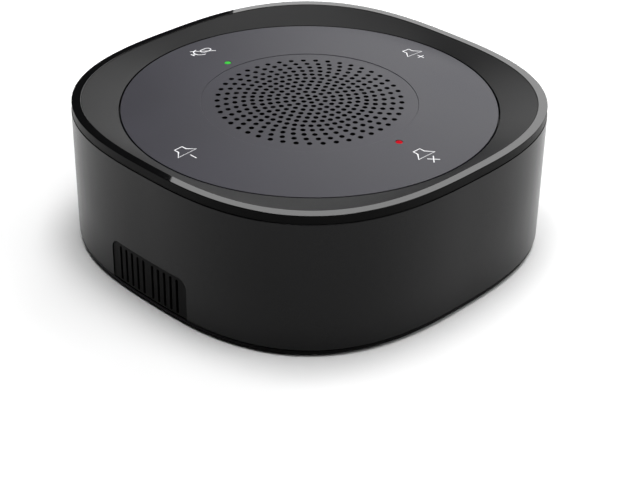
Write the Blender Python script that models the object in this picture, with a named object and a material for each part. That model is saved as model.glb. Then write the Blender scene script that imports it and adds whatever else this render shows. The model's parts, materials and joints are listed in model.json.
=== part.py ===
"""A conference speakerphone: a rounded square table-top housing with a domed touch panel, a
perforated loudspeaker grille, a vent low in the front wall and a data inlet at the rear.

The origin is at the centre of the underside, +Z is up, -Y is the front (the side with the vent)
and +X is the right-hand side of someone who sits in front of it.
"""
import math

import bmesh
import bpy

MM = 0.001
CLEAR = 0.3 * MM              # gap between two pieces that seat on each other
WELD = 0.001 * MM             # points closer than this are one point
SHARP_EDGE = math.radians(35)

# Outline of the housing
BODY_HALF = 65.0 * MM         # half width over the trim ring
BODY_TOP = 45.5 * MM          # height of the trim ring's flat top above the table
CORNER_POWER = 2.72           # roundness of the square: 2 is a circle, more is squarer
OUTLINE_STEPS = 36
WALL_PROUD = 0.15 * MM        # the wall stands this far outside the ring
RING_WIDTH = 2.6 * MM
RING_HEIGHT = 2.75 * MM
RING_BEVEL = 0.25 * MM

# Base plate and feet
FOOT_RADIUS = 7.0 * MM
FOOT_PROUD = 0.6 * MM         # how far the feet hold the plate off the table
FOOT_SINK = 0.7 * MM          # how deep the feet sit in the plate
FOOT_STEPS = 12
BASE_RIM = 1.4 * MM           # height of the rim that shows under the wall
BASE_INSET = 0.1 * MM         # the rim lies this far inside the ring's outline
BASE_CHAMFER = 0.4 * MM
BASE_THICK = 2.4 * MM
LIP_HEIGHT = 1.4 * MM         # lip that centres the wall
LIP_WIDTH = 1.8 * MM

# Dish bezel: sloping dish, ledge for the panel, deck for the loudspeaker
DISH_WIDTH = 5.2 * MM         # narrowest width of the slope, at the middle of a side
DISH_DROP = 0.35 * MM         # its outer edge lies this far below the ring's top
PANEL_GAP = 0.5 * MM          # open gap round the panel
LEDGE_WIDTH = 3.7 * MM
DECK_DROP = 5.65 * MM         # from the ledge down to the deck
DECK_THICK = 2.0 * MM
SKIRT_WALL = 2.0 * MM
SKIRT_DEPTH = 4.0 * MM        # how far the skirt reaches below the deck
POST_RADIUS = 3.6 * MM
POST_GAP = 1.5 * MM           # from the posts to the skirt
ROUND_STEPS = 10

# Touch panel and grille
PANEL_DROP = 2.75 * MM        # the panel's rim lies this far below the ring's top
PANEL_RISE = 1.53 * MM        # height of its dome
PANEL_THICK = 1.8 * MM        # thickness at the rim
PANEL_EDGE = 0.35 * MM        # rounding of the rim
PANEL_BANDS = 2
GRILLE_RADIUS = 32.5 * MM
GRILLE_THICK = 1.2 * MM
RABBET_WIDTH = 1.6 * MM       # ledge in the panel that carries the grille
HOLE_RADIUS = 0.7 * MM
HOLE_SIDES = 4
INNER_RINGS = 6               # inner rings gain six holes each
HOLES_PER_STEP = 6
INNER_PITCH = 2.43 * MM
OUTER_RINGS = 5               # outer rings share one count and lean into a swirl
OUTER_HOLES = 45
OUTER_PITCH = 2.64 * MM
SWIRL_START = math.radians(4.53)
SWIRL_STEP = math.radians(0.91)
SWIRL_GROWTH = math.radians(0.19)
CLOTH_THICK = 0.35 * MM
CLOTH_BANDS = 2

# Touch board with its lamps and microphones
TOUCH_BOARD_THICK = 1.0 * MM
TOUCH_BOARD_MARGIN = 2.0 * MM  # from its inner edge to the lamps
TOUCH_BOARD_STEPS = 24
LAMP_GAP = 2.7 * MM           # from the grille's seam to each light pipe
PIPE_RADIUS = 1.0 * MM
CHIP_SIZE = (1.2 * MM, 0.8 * MM, 0.6 * MM)
MIC_SIZE = (3.8 * MM, 3.0 * MM, 1.2 * MM)
MIC_INSET = 4.0 * MM          # from the touch board's edge to each microphone

# Loudspeaker; its heights are measured from the deck
GASKET_THICK = 0.6 * MM
GASKET_WIDTH = 2.3 * MM
FLANGE_THICK = 1.2 * MM
FLANGE_MARGIN = 0.55 * MM     # flange outside the screw heads
SCREW_GAP = 0.45 * MM         # from the surround's bonded edge to the screw heads
BASKET_RADIUS = 26.2 * MM
BASKET_WALL = 1.2 * MM
DRUM_DEPTH = 2.4 * MM         # straight part of the basket below the deck's top
BASKET_DEPTH = 8.0 * MM
MOTOR_RADIUS = 18.4 * MM
MOTOR_RING_WIDTH = 3.6 * MM
MOTOR_RING_THICK = 1.4 * MM
WINDOW_WIDTH = 14.0 * MM
WINDOW_MARGIN = 0.5 * MM
PLATE_THICK = 3.0 * MM
PLATE_EDGE = 0.4 * MM         # the top plate and yoke lie this far inside the motor ring
MAGNET_EDGE = 1.6 * MM        # the magnet stands this far outside it
POLE_RADIUS = 7.3 * MM
COIL_GAP = 0.4 * MM           # air gap on each side of the coil
COIL_WALL = 0.8 * MM
COIL_DROP = 5.2 * MM          # coil below the top plate's upper face
COIL_RISE = 3.5 * MM          # coil above it
CONE_RADIUS = 22.0 * MM
CONE_LIP = 1.6 * MM
CONE_THICK = 0.5 * MM
CAP_RADIUS = 10.5 * MM
CAP_RISE = 3.0 * MM
CAP_THICK = 0.5 * MM
CAP_BANDS = 3
ROLL_THICK = 0.4 * MM
ROLL_LIP = 3.0 * MM           # bonded width on the flange
ROLL_BANDS = 3
SPIDER_THICK = 0.4 * MM
SPIDER_WAVE = 0.3 * MM
SPIDER_LIP = 1.8 * MM
SPIDER_BANDS = 3
DRIVER_STEPS = 16

# Main board and what stands on it
BOARD_STAND = 3.0 * MM        # height of the base plate's board posts
BOARD_THICK = 1.6 * MM
BOARD_GAP = 0.8 * MM          # from the board to the corner bosses
BOARD_POST_RADIUS = 3.2 * MM
BOARD_POST_INSET = 5.0 * MM
TAB_HALF = 10.0 * MM          # tab that carries the data inlet
TAB_GAP = 1.9 * MM
PARTS_ROOM = 4.4 * MM         # height kept free between the board and the yoke
SIGNAL_CHIP_SIZE = (12.0 * MM, 12.0 * MM, 1.2 * MM)
SIGNAL_CHIP_SIDE = -12.0 * MM  # from the middle of the board
AMPLIFIER_SIZE = (7.0 * MM, 7.0 * MM, 1.0 * MM)
AMPLIFIER_SIDE = 14.0 * MM
CHIP_INSET = 12.0 * MM        # from the board's front edge to the chips' middles
CAPACITOR_RADIUS = 4.0 * MM
CAPACITOR_HEIGHT = 9.0 * MM
CAPACITOR_GROOVE = 0.4 * MM
CAPACITOR_GAP = 4.0 * MM      # from the magnet to the capacitors
CAPACITOR_BACK = -6.0 * MM    # the first one's place along the board
CAPACITOR_STEP = 11.0 * MM

# Data inlet
USB_WIDTH = 9.0 * MM
USB_HEIGHT = 3.2 * MM
USB_WALL = 0.3 * MM
USB_DEPTH = 8.0 * MM
USB_RECESS = 0.7 * MM         # the inlet's mouth lies this far inside the wall
USB_CLEAR = 0.5 * MM          # cut-out round the inlet
USB_ARC = 6
TONGUE_WIDTH = 6.7 * MM
TONGUE_THICK = 0.7 * MM
TONGUE_SETBACK = 1.0 * MM

# Ribbon cable
RIBBON_WIDTH = 12.0 * MM
RIBBON_THICK = 0.4 * MM
RIBBON_BEND = 1.0 * MM
RIBBON_ARC = 3
RIBBON_REACH = 2.2 * MM       # from the sockets out to the upright run
RIBBON_INSET = 9.5 * MM       # from the panel's ledge to the sockets
RIBBON_SLOT_GAP = 0.8 * MM
SOCKET_SIZE = (14.0 * MM, 3.0 * MM, 1.5 * MM)

# Vent
VENT_HALF = 16.3 * MM
VENT_TOP = 15.3 * MM
VENT_CORNER = 3.2 * MM
VENT_ARC = 3
VENT_RECESS = 0.7 * MM
VENT_THICK = 1.6 * MM
SLOT_WIDTH = 1.1 * MM
SLOT_PITCH = 2.6 * MM
SLOT_FIRST = 1.95 * MM        # from the middle rib's centre to the first slot's centre
SLOTS_PER_SIDE = 5
SLOT_MARGIN = 1.0 * MM
MESH_THICK = 0.4 * MM
MESH_MARGIN = 1.5 * MM

# Screws: head radius, head height, shank radius, shank length
BASE_SCREW = (2.7 * MM, 1.8 * MM, 1.2 * MM, 12.0 * MM)
BOARD_SCREW = (2.2 * MM, 1.5 * MM, 1.1 * MM, 4.4 * MM)
DRIVER_SCREW = (1.9 * MM, 1.4 * MM, 1.0 * MM, 4.8 * MM)
SCREW_STEPS = 6
SCREW_PLAY = 0.6 * MM         # hole left below a screw's tip
BOSS_RADIUS = 4.2 * MM
BOSS_HEIGHT = 4.7 * MM
BORE_EXTRA = 5.0 * MM         # cutters reach this far past the face that they open

# Half widths of the outline's pieces, from the outside in
SLEEVE_OUT = BODY_HALF + WALL_PROUD
SLEEVE_IN = BODY_HALF - RING_WIDTH
HOUSING_OUT = SLEEVE_IN - CLEAR
SKIRT_IN = HOUSING_OUT - SKIRT_WALL
LIP_OUT = SLEEVE_IN - CLEAR
LIP_IN = LIP_OUT - LIP_WIDTH
BASE_HALF = BODY_HALF - BASE_INSET

# Radii of the round pieces in the top, from the outside in
DISH_RADIUS = SLEEVE_IN - DISH_WIDTH
PANEL_RADIUS = DISH_RADIUS - PANEL_GAP
LEDGE_RADIUS = DISH_RADIUS - LEDGE_WIDTH
GRILLE_SEAT = GRILLE_RADIUS + CLEAR
RABBET_RADIUS = GRILLE_SEAT - RABBET_WIDTH
CLOTH_RADIUS = RABBET_RADIUS - CLEAR
LAMP_RADIUS = GRILLE_SEAT + LAMP_GAP + PIPE_RADIUS
TOUCH_BOARD_INNER = LAMP_RADIUS - TOUCH_BOARD_MARGIN
RIBBON_AT = LEDGE_RADIUS - RIBBON_INSET

# Heights from the table up
BASE_BOTTOM = FOOT_PROUD
RIM_TOP = BASE_BOTTOM + BASE_RIM
BASE_TOP = BASE_BOTTOM + BASE_THICK
LIP_TOP = max(RIM_TOP, BASE_TOP) + LIP_HEIGHT
RECESS_TOP = BASE_BOTTOM + FOOT_SINK + CLEAR
BOSS_TOP = BASE_TOP + BOSS_HEIGHT
BOARD_BOTTOM = BASE_TOP + BOARD_STAND + CLEAR
BOARD_TOP = BOARD_BOTTOM + BOARD_THICK
PARTS_BOTTOM = BOARD_TOP + CLEAR
SLEEVE_BOTTOM = RIM_TOP + CLEAR

# Heights from the top down
RING_BOTTOM = BODY_TOP - RING_HEIGHT
SLEEVE_TOP = RING_BOTTOM - CLEAR
PANEL_RIM = BODY_TOP - PANEL_DROP
PANEL_BOTTOM = PANEL_RIM - PANEL_THICK
LEDGE_TOP = PANEL_BOTTOM - CLEAR
TOUCH_BOARD_TOP = PANEL_BOTTOM - CLEAR
TOUCH_BOARD_BOTTOM = TOUCH_BOARD_TOP - TOUCH_BOARD_THICK
DECK_TOP = LEDGE_TOP - DECK_DROP
DECK_BOTTOM = DECK_TOP - DECK_THICK
SKIRT_BOTTOM = DECK_BOTTOM - SKIRT_DEPTH

# Heights in the loudspeaker, from the deck's top
FLANGE_BOTTOM = CLEAR + GASKET_THICK + CLEAR
FLANGE_TOP = FLANGE_BOTTOM + FLANGE_THICK
MOTOR_RING_BOTTOM = -BASKET_DEPTH
MOTOR_RING_TOP = MOTOR_RING_BOTTOM + MOTOR_RING_THICK
PLATE_TOP = MOTOR_RING_BOTTOM - CLEAR
PLATE_BOTTOM = PLATE_TOP - PLATE_THICK
YOKE_BOTTOM = BOARD_TOP + PARTS_ROOM - DECK_TOP
YOKE_TOP = YOKE_BOTTOM + PLATE_THICK
COIL_IN = POLE_RADIUS + COIL_GAP
COIL_OUT = COIL_IN + COIL_WALL
COIL_TOP = PLATE_TOP + COIL_RISE
NECK_RADIUS = COIL_OUT + CLEAR
CONE_LIP_IN = CONE_RADIUS - CONE_LIP
CONE_SLOPE = (FLANGE_TOP - COIL_TOP) / (CONE_LIP_IN - NECK_RADIUS)
BASKET_IN = BASKET_RADIUS - BASKET_WALL
MOTOR_RING_IN = MOTOR_RADIUS - MOTOR_RING_WIDTH
DRIVER_SCREW_RADIUS = BASKET_RADIUS + ROLL_LIP + SCREW_GAP + DRIVER_SCREW[0]
FLANGE_RADIUS = DRIVER_SCREW_RADIUS + DRIVER_SCREW[0] + FLANGE_MARGIN

# Places that repeat at the four corners
DIAGONAL = 2 ** (0.5 - 1 / CORNER_POWER)
POST_AT = (SKIRT_IN * DIAGONAL - POST_GAP - POST_RADIUS) * math.sqrt(0.5)
BOARD_HALF = POST_AT - BOSS_RADIUS - BOARD_GAP
BOARD_POST_AT = BOARD_HALF - BOARD_POST_INSET
DRIVER_SCREW_AT = DRIVER_SCREW_RADIUS * math.sqrt(0.5)
MIC_AT = (LEDGE_RADIUS - CLEAR - MIC_INSET) * math.sqrt(0.5)
CORNERS = {
    "front_left": (-1, -1),
    "front_right": (1, -1),
    "rear_left": (-1, 1),
    "rear_right": (1, 1),
}

USB_CENTRE = PARTS_BOTTOM + USB_HEIGHT / 2
USB_BACK = SLEEVE_OUT - USB_RECESS - USB_DEPTH


def material(name, colour, roughness, metallic=0.0):
    """A Principled finish; colour is a linear grey level or a linear (red, green, blue)."""
    finish = bpy.data.materials.new(name)
    finish.use_nodes = True
    shader = finish.node_tree.nodes["Principled BSDF"]
    red, green, blue = colour if isinstance(colour, tuple) else (colour, colour, colour)
    shader.inputs["Base Color"].default_value = (red, green, blue, 1.0)
    shader.inputs["Roughness"].default_value = roughness
    shader.inputs["Metallic"].default_value = metallic
    return finish


def placed(name, data, at=(0, 0, 0), parent=None):
    """An object that shows this mesh at a place."""
    item = bpy.data.objects.new(name, data)
    item.location = at
    item.parent = parent
    bpy.context.scene.collection.objects.link(item)
    return item


def finished(name, mesh, finish, at=(0, 0, 0), parent=None):
    """Close off a piece: faces outward, smooth shading with sharp edges, its own finish."""
    bmesh.ops.recalc_face_normals(mesh, faces=mesh.faces)
    if mesh.calc_volume(signed=True) < 0:
        bmesh.ops.reverse_faces(mesh, faces=mesh.faces)
    data = bpy.data.meshes.new(name)
    mesh.to_mesh(data)
    mesh.free()
    data.shade_smooth()
    data.set_sharp_from_angle(angle=SHARP_EDGE)
    if finish is not None:
        data.materials.append(finish)
    return placed(name, data, at, parent)


def circle(radius, height, steps=OUTLINE_STEPS, centre=(0, 0), start=0.0):
    """Points of a circle at a height."""
    turns = [start + math.tau * step / steps for step in range(steps)]
    return [(centre[0] + radius * math.cos(t), centre[1] + radius * math.sin(t), height) for t in turns]


def rounded_square(half, height):
    """Points of the housing's rounded square outline at a height."""
    points = []
    for step in range(OUTLINE_STEPS):
        turn = math.tau * step / OUTLINE_STEPS
        x, y = math.cos(turn), math.sin(turn)
        radius = half / (abs(x) ** CORNER_POWER + abs(y) ** CORNER_POWER) ** (1 / CORNER_POWER)
        points.append((radius * x, radius * y, height))
    return points


def front_wall(half, x):
    """How far in front of the axis the rounded square's front lies at x."""
    return -(half ** CORNER_POWER - abs(x) ** CORNER_POWER) ** (1 / CORNER_POWER)


def dome(radius):
    """Height of the panel's domed top at a distance from the axis."""
    return PANEL_RIM + PANEL_RISE * (1 - (radius / PANEL_RADIUS) ** 2)


def spread(first, last, steps):
    """Evenly spaced values from first to last, both included."""
    return [first + (last - first) * step / steps for step in range(steps + 1)]


def add_loop(mesh, points):
    """A closed loop of edges through the points."""
    corners = [mesh.verts.new(point) for point in points]
    return [mesh.edges.new(pair) for pair in zip(corners, corners[1:] + corners[:1])]


def skinned(mesh, loops, ring):
    """Skin the loops in order; a ring closes on its first loop, anything else gets two caps."""
    rows = [[mesh.verts.new(point) for point in points] for points in loops]
    pairs = list(zip(rows, rows[1:]))
    if ring:
        pairs.append((rows[-1], rows[0]))
    for lower, upper in pairs:
        for here, corner in enumerate(lower):
            after = (here + 1) % len(lower)
            mesh.faces.new((corner, lower[after], upper[after], upper[here]))
    if not ring:
        mesh.faces.new(rows[0])
        mesh.faces.new(rows[-1])


def lofted(name, loops, finish, ring=False, at=(0, 0, 0), parent=None):
    """A piece lofted through loops of points."""
    mesh = bmesh.new()
    skinned(mesh, loops, ring)
    return finished(name, mesh, finish, at, parent)


def turn_profile(mesh, profile, steps, centre=(0, 0)):
    """Turn (radius, height) points about an upright axis; a profile that starts and ends on the
    axis stays open there, any other closes into a ring."""
    solid = profile[0][0] == 0 and profile[-1][0] == 0
    corners = [mesh.verts.new((centre[0] + radius, centre[1], height)) for radius, height in profile]
    ends = corners[1:] if solid else corners[1:] + corners[:1]
    edges = [mesh.edges.new(pair) for pair in zip(corners, ends)]
    bmesh.ops.spin(
        mesh,
        geom=corners + edges,
        cent=(centre[0], centre[1], 0),
        axis=(0, 0, 1),
        angle=math.tau,
        steps=steps,
        use_merge=True,
    )
    bmesh.ops.remove_doubles(mesh, verts=mesh.verts, dist=WELD)


def turned(name, profile, finish, steps=DRIVER_STEPS, at=(0, 0, 0), parent=None):
    """A turned piece."""
    mesh = bmesh.new()
    turn_profile(mesh, profile, steps)
    return finished(name, mesh, finish, at, parent)


def thickened(mesh, place, front, back):
    """Give a flat plan its thickness; place(u, v, depth) says where a plan point lies."""
    near = list(mesh.verts)
    made = bmesh.ops.extrude_face_region(mesh, geom=mesh.faces[:])
    far = [part for part in made["geom"] if isinstance(part, bmesh.types.BMVert)]
    for corners, depth in ((near, front), (far, back)):
        for corner in corners:
            corner.co = place(corner.co.x, corner.co.y, depth)
    return mesh


def extruded(outline, place, front, back):
    """A plate of one outline of (u, v) points."""
    mesh = bmesh.new()
    mesh.faces.new([mesh.verts.new((u, v, 0)) for u, v in outline])
    return thickened(mesh, place, front, back)


def perforated(outline, holes, place, front, back):
    """A plate with holes, filled between its outline and theirs."""
    mesh = bmesh.new()
    edges = add_loop(mesh, [(u, v, 0) for u, v in outline])
    for hole in holes:
        edges += add_loop(mesh, [(u, v, 0) for u, v in hole])
    bmesh.ops.triangle_fill(mesh, use_beauty=True, edges=edges)
    return thickened(mesh, place, front, back)


def upright(x, y, height):
    """A plan point at a height."""
    return (x, y, height)


def facing_front(x, z, y):
    """A point of a front view at a depth."""
    return (x, y, z)


def facing_side(y, z, x):
    """A point of a side view at a distance to the right."""
    return (x, y, z)


def along_front(x, z, half):
    """A point of a front view on the rounded square's front wall."""
    return (x, front_wall(half, x), z)


def box(mesh, low, high):
    """An upright box between two corners."""
    outline = [(low[0], low[1]), (high[0], low[1]), (high[0], high[1]), (low[0], high[1])]
    skinned(mesh, [[(x, y, z) for x, y in outline] for z in (low[2], high[2])], ring=False)


def block(name, size, finish, at):
    """A small box-shaped piece that stands on its place."""
    mesh = bmesh.new()
    box(mesh, (-size[0] / 2, -size[1] / 2, 0), (size[0] / 2, size[1] / 2, size[2]))
    return finished(name, mesh, finish, at)


def tool(name, mesh):
    """A shape that only cuts or adds to another piece."""
    item = finished(name, mesh, None)
    item.hide_render = True
    item.display_type = "WIRE"
    return item


def combine(piece, mesh, operation):
    """Cut a shape from a piece, or add it to the piece."""
    change = piece.modifiers.new(operation.lower(), "BOOLEAN")
    change.operation = operation
    change.solver = "EXACT"
    change.object = tool(f"{piece.name}_{operation.lower()}_{len(piece.modifiers)}", mesh)


def corner_places(distance):
    """The four corner names with the place of each at this distance along X and Y."""
    return [(name, (x * distance, y * distance)) for name, (x, y) in CORNERS.items()]


def cylinders(places, radius, bottom, top, steps):
    """Upright cylinders of one size, in one shape."""
    mesh = bmesh.new()
    for centre in places:
        skinned(mesh, [circle(radius, height, steps, centre) for height in (bottom, top)], ring=False)
    return mesh


def stadium(width, height, arc_steps):
    """A slot outline: two half circles joined by straight sides."""
    radius = height / 2
    side = width / 2 - radius
    turns = spread(-math.pi / 2, math.pi / 2, arc_steps)
    right = [(side + radius * math.cos(t), radius * math.sin(t)) for t in turns]
    return right + [(-x, -y) for x, y in right]


def vent_outline(half, bottom, top, corner):
    """Front view of the vent: square at the bottom, rounded at its upper corners."""
    turns = spread(0, math.pi / 2, VENT_ARC)
    right = [(half - corner + corner * math.cos(t), top - corner + corner * math.sin(t)) for t in turns]
    left = [(-x, z) for x, z in reversed(right)]
    return [(0, bottom), (half, bottom)] + right + [(0, top)] + left + [(-half, bottom)]


def base_plate(finish):
    """Bottom cover: rim, centring lip, corner bosses, board posts and recesses for the feet."""
    loops = [
        rounded_square(BASE_HALF - BASE_CHAMFER, BASE_BOTTOM),
        rounded_square(BASE_HALF, BASE_BOTTOM + BASE_CHAMFER),
        rounded_square(BASE_HALF, RIM_TOP),
        rounded_square(LIP_OUT, RIM_TOP),
        rounded_square(LIP_OUT, LIP_TOP),
        rounded_square(LIP_IN, LIP_TOP),
        rounded_square(LIP_IN, BASE_TOP),
    ]
    plate = lofted("base_plate", loops, finish)
    corners = [centre for _, centre in corner_places(POST_AT)]
    posts = [centre for _, centre in corner_places(BOARD_POST_AT)]
    root = (BASE_BOTTOM + BASE_TOP) / 2
    combine(plate, cylinders(corners, BOSS_RADIUS, root, BOSS_TOP, ROUND_STEPS), "UNION")
    combine(plate, cylinders(posts, BOARD_POST_RADIUS, root, BASE_TOP + BOARD_STAND, ROUND_STEPS), "UNION")
    head_radius, head_height, shank_radius, _ = BASE_SCREW
    seat = RECESS_TOP + CLEAR + head_height + CLEAR
    bores = bmesh.new()
    for centre in corners:
        profile = [
            (0, BASE_BOTTOM - BORE_EXTRA),
            (FOOT_RADIUS + CLEAR, BASE_BOTTOM - BORE_EXTRA),
            (FOOT_RADIUS + CLEAR, RECESS_TOP),
            (head_radius + CLEAR, RECESS_TOP),
            (head_radius + CLEAR, seat),
            (shank_radius + CLEAR, seat),
            (shank_radius + CLEAR, BOSS_TOP + BORE_EXTRA),
            (0, BOSS_TOP + BORE_EXTRA),
        ]
        turn_profile(bores, profile, FOOT_STEPS, centre)
    combine(plate, bores, "DIFFERENCE")
    _, _, shank_radius, length = BOARD_SCREW
    bottom = PARTS_BOTTOM - length - SCREW_PLAY
    top = BASE_TOP + BOARD_STAND + BORE_EXTRA
    combine(plate, cylinders(posts, shank_radius + CLEAR, bottom, top, SCREW_STEPS), "DIFFERENCE")


def feet(finish):
    """Four rubber feet, each over a base screw."""
    edge = FOOT_PROUD / 2
    top = FOOT_PROUD + FOOT_SINK
    profile = [(0, 0), (FOOT_RADIUS - edge, 0), (FOOT_RADIUS, edge), (FOOT_RADIUS, top), (0, top)]
    first = None
    for name, (x, y) in corner_places(POST_AT):
        if first is None:
            first = turned(f"foot_{name}", profile, finish, FOOT_STEPS, (x, y, 0))
        else:
            placed(f"foot_{name}", first.data, (x, y, 0))


def wall_sleeve(finish):
    """The upright wall, open at the vent and at the data inlet."""
    loops = [
        rounded_square(SLEEVE_OUT, SLEEVE_BOTTOM),
        rounded_square(SLEEVE_OUT, SLEEVE_TOP),
        rounded_square(SLEEVE_IN, SLEEVE_TOP),
        rounded_square(SLEEVE_IN, SLEEVE_BOTTOM),
    ]
    sleeve = lofted("wall_sleeve", loops, finish, ring=True)
    outline = vent_outline(VENT_HALF, SLEEVE_BOTTOM - BORE_EXTRA, VENT_TOP, VENT_CORNER)
    vent = extruded(outline, facing_front, -SLEEVE_OUT - BORE_EXTRA, BORE_EXTRA - SLEEVE_IN)
    combine(sleeve, vent, "DIFFERENCE")
    outline = stadium(USB_WIDTH + 2 * USB_CLEAR, USB_HEIGHT + 2 * USB_CLEAR, USB_ARC)
    outline = [(x, USB_CENTRE + z) for x, z in outline]
    inlet = extruded(outline, facing_front, SLEEVE_IN - BORE_EXTRA, SLEEVE_OUT + BORE_EXTRA)
    combine(sleeve, inlet, "DIFFERENCE")


def vent_grille(grille_finish, mesh_finish):
    """Slotted insert that fills the vent, and the fine mesh behind it."""
    bottom = SLEEVE_BOTTOM
    top = VENT_TOP - CLEAR
    outline = vent_outline(VENT_HALF - CLEAR, bottom, top, VENT_CORNER - CLEAR)
    slots = []
    for side in (-1, 1):
        for number in range(SLOTS_PER_SIDE):
            middle = side * (SLOT_FIRST + number * SLOT_PITCH)
            left, right = middle - SLOT_WIDTH / 2, middle + SLOT_WIDTH / 2
            low, high = bottom + SLOT_MARGIN, top - SLOT_MARGIN
            slots.append([(left, low), (right, low), (right, high), (left, high)])
    front = SLEEVE_OUT - VENT_RECESS
    mesh = perforated(outline, slots, along_front, front, front - VENT_THICK)
    finished("vent_grille", mesh, grille_finish)
    half = VENT_HALF - MESH_MARGIN
    low, high = LIP_TOP + CLEAR, top - MESH_MARGIN / 2
    columns = spread(-half, half, SLOTS_PER_SIDE + 1)
    outline = [(x, low) for x in columns] + [(x, high) for x in reversed(columns)]
    front = front - VENT_THICK - CLEAR
    finished("vent_mesh", perforated(outline, [], along_front, front, front - MESH_THICK), mesh_finish)


def trim_ring(finish):
    """Flat ring round the top with its upright outer band."""
    loops = [
        rounded_square(BODY_HALF, RING_BOTTOM),
        rounded_square(BODY_HALF, BODY_TOP - RING_BEVEL),
        rounded_square(BODY_HALF - RING_BEVEL, BODY_TOP),
        rounded_square(SLEEVE_IN, BODY_TOP),
        rounded_square(SLEEVE_IN, RING_BOTTOM),
    ]
    lofted("trim_ring", loops, finish, ring=True)


def dish_bezel(finish):
    """Upper housing: sloping dish, ledge for the panel, deck for the loudspeaker, four posts."""
    opening = BASKET_RADIUS + CLEAR
    loops = [
        rounded_square(HOUSING_OUT, SKIRT_BOTTOM),
        rounded_square(HOUSING_OUT, BODY_TOP - DISH_DROP),
        circle(DISH_RADIUS, PANEL_RIM),
        circle(DISH_RADIUS, LEDGE_TOP),
        circle(LEDGE_RADIUS, LEDGE_TOP),
        circle(LEDGE_RADIUS, DECK_TOP),
        circle(opening, DECK_TOP),
        circle(opening, DECK_BOTTOM),
        rounded_square(SKIRT_IN, DECK_BOTTOM),
        rounded_square(SKIRT_IN, SKIRT_BOTTOM),
    ]
    bezel = lofted("dish_bezel", loops, finish, ring=True)
    corners = [centre for _, centre in corner_places(POST_AT)]
    root = (DECK_TOP + DECK_BOTTOM) / 2
    combine(bezel, cylinders(corners, POST_RADIUS, BOSS_TOP + CLEAR, root, ROUND_STEPS), "UNION")
    _, head_height, shank_radius, length = BASE_SCREW
    tip = RECESS_TOP + CLEAR + head_height + length + SCREW_PLAY
    bores = cylinders(corners, shank_radius + CLEAR, BOSS_TOP - BORE_EXTRA, tip, SCREW_STEPS)
    combine(bezel, bores, "DIFFERENCE")
    screws = [centre for _, centre in corner_places(DRIVER_SCREW_AT)]
    radius = DRIVER_SCREW[2] + CLEAR
    bores = cylinders(screws, radius, DECK_BOTTOM - BORE_EXTRA, DECK_TOP + BORE_EXTRA, SCREW_STEPS)
    combine(bezel, bores, "DIFFERENCE")
    run = RIBBON_AT + SOCKET_SIZE[1] / 2 + CLEAR + RIBBON_REACH
    half = RIBBON_WIDTH / 2 + RIBBON_SLOT_GAP
    depth = RIBBON_THICK / 2 + RIBBON_SLOT_GAP
    slot = bmesh.new()
    box(slot, (-half, run - depth, DECK_BOTTOM - BORE_EXTRA), (half, run + depth, DECK_TOP + BORE_EXTRA / 2))
    combine(bezel, slot, "DIFFERENCE")


def touch_panel(finish):
    """Domed panel with a seat for the grille and a hole for each light pipe."""
    radii = spread(PANEL_RADIUS - PANEL_EDGE, GRILLE_SEAT, PANEL_BANDS)
    seat = dome(GRILLE_SEAT) - GRILLE_THICK - CLEAR
    loops = [circle(PANEL_RADIUS, PANEL_BOTTOM), circle(PANEL_RADIUS, PANEL_RIM - PANEL_EDGE)]
    loops += [circle(radius, dome(radius)) for radius in radii]
    loops += [circle(GRILLE_SEAT, seat), circle(RABBET_RADIUS, seat), circle(RABBET_RADIUS, PANEL_BOTTOM)]
    panel = lofted("touch_panel", loops, finish, ring=True)
    places = [(-LAMP_RADIUS, 0), (LAMP_RADIUS, 0)]
    low, high = PANEL_BOTTOM - BORE_EXTRA, BODY_TOP + BORE_EXTRA
    combine(panel, cylinders(places, PIPE_RADIUS + CLEAR, low, high, ROUND_STEPS), "DIFFERENCE")


def hole_centres():
    """Centres of the grille's holes: one in the middle, rings that grow by six, then a swirl."""
    centres = [(0.0, 0.0)]
    for ring in range(1, INNER_RINGS + 1):
        count = HOLES_PER_STEP * ring
        start = math.pi / count if ring == 1 else 0.0
        centres += [point[:2] for point in circle(ring * INNER_PITCH, 0, count, start=start)]
    for ring in range(OUTER_RINGS):
        start = SWIRL_START + SWIRL_STEP * ring + SWIRL_GROWTH * ring ** 2
        radius = INNER_RINGS * INNER_PITCH + (ring + 1) * OUTER_PITCH
        centres += [point[:2] for point in circle(radius, 0, OUTER_HOLES, start=start)]
    return centres


def speaker_grille(finish):
    """Domed insert with rings of round holes."""
    def on_dome(x, y, depth):
        return (x, y, dome(math.hypot(x, y)) - depth)

    outline = [point[:2] for point in circle(GRILLE_RADIUS, 0)]
    holes = [[point[:2] for point in circle(HOLE_RADIUS, 0, HOLE_SIDES, centre)] for centre in hole_centres()]
    finished("speaker_grille", perforated(outline, holes, on_dome, 0, GRILLE_THICK), finish)


def grille_cloth(finish):
    """Acoustic cloth bonded under the grille, following its dome."""
    radii = spread(0, CLOTH_RADIUS, CLOTH_BANDS)
    top = GRILLE_THICK + CLEAR
    profile = [(radius, dome(radius) - top) for radius in radii]
    profile += [(radius, dome(radius) - top - CLOTH_THICK) for radius in reversed(radii)]
    turned("grille_cloth", profile, finish)


def touch_board(board_finish, mic_finish):
    """Ring-shaped board bonded under the panel, with a microphone at each corner."""
    outer = LEDGE_RADIUS - CLEAR
    profile = [
        (outer, TOUCH_BOARD_TOP),
        (outer, TOUCH_BOARD_BOTTOM),
        (TOUCH_BOARD_INNER, TOUCH_BOARD_BOTTOM),
        (TOUCH_BOARD_INNER, TOUCH_BOARD_TOP),
    ]
    turned("touch_board", profile, board_finish, TOUCH_BOARD_STEPS)
    height = TOUCH_BOARD_BOTTOM - CLEAR - MIC_SIZE[2]
    for name, (x, y) in corner_places(MIC_AT):
        block(f"microphone_{name}", MIC_SIZE, mic_finish, (x, y, height))


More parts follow.
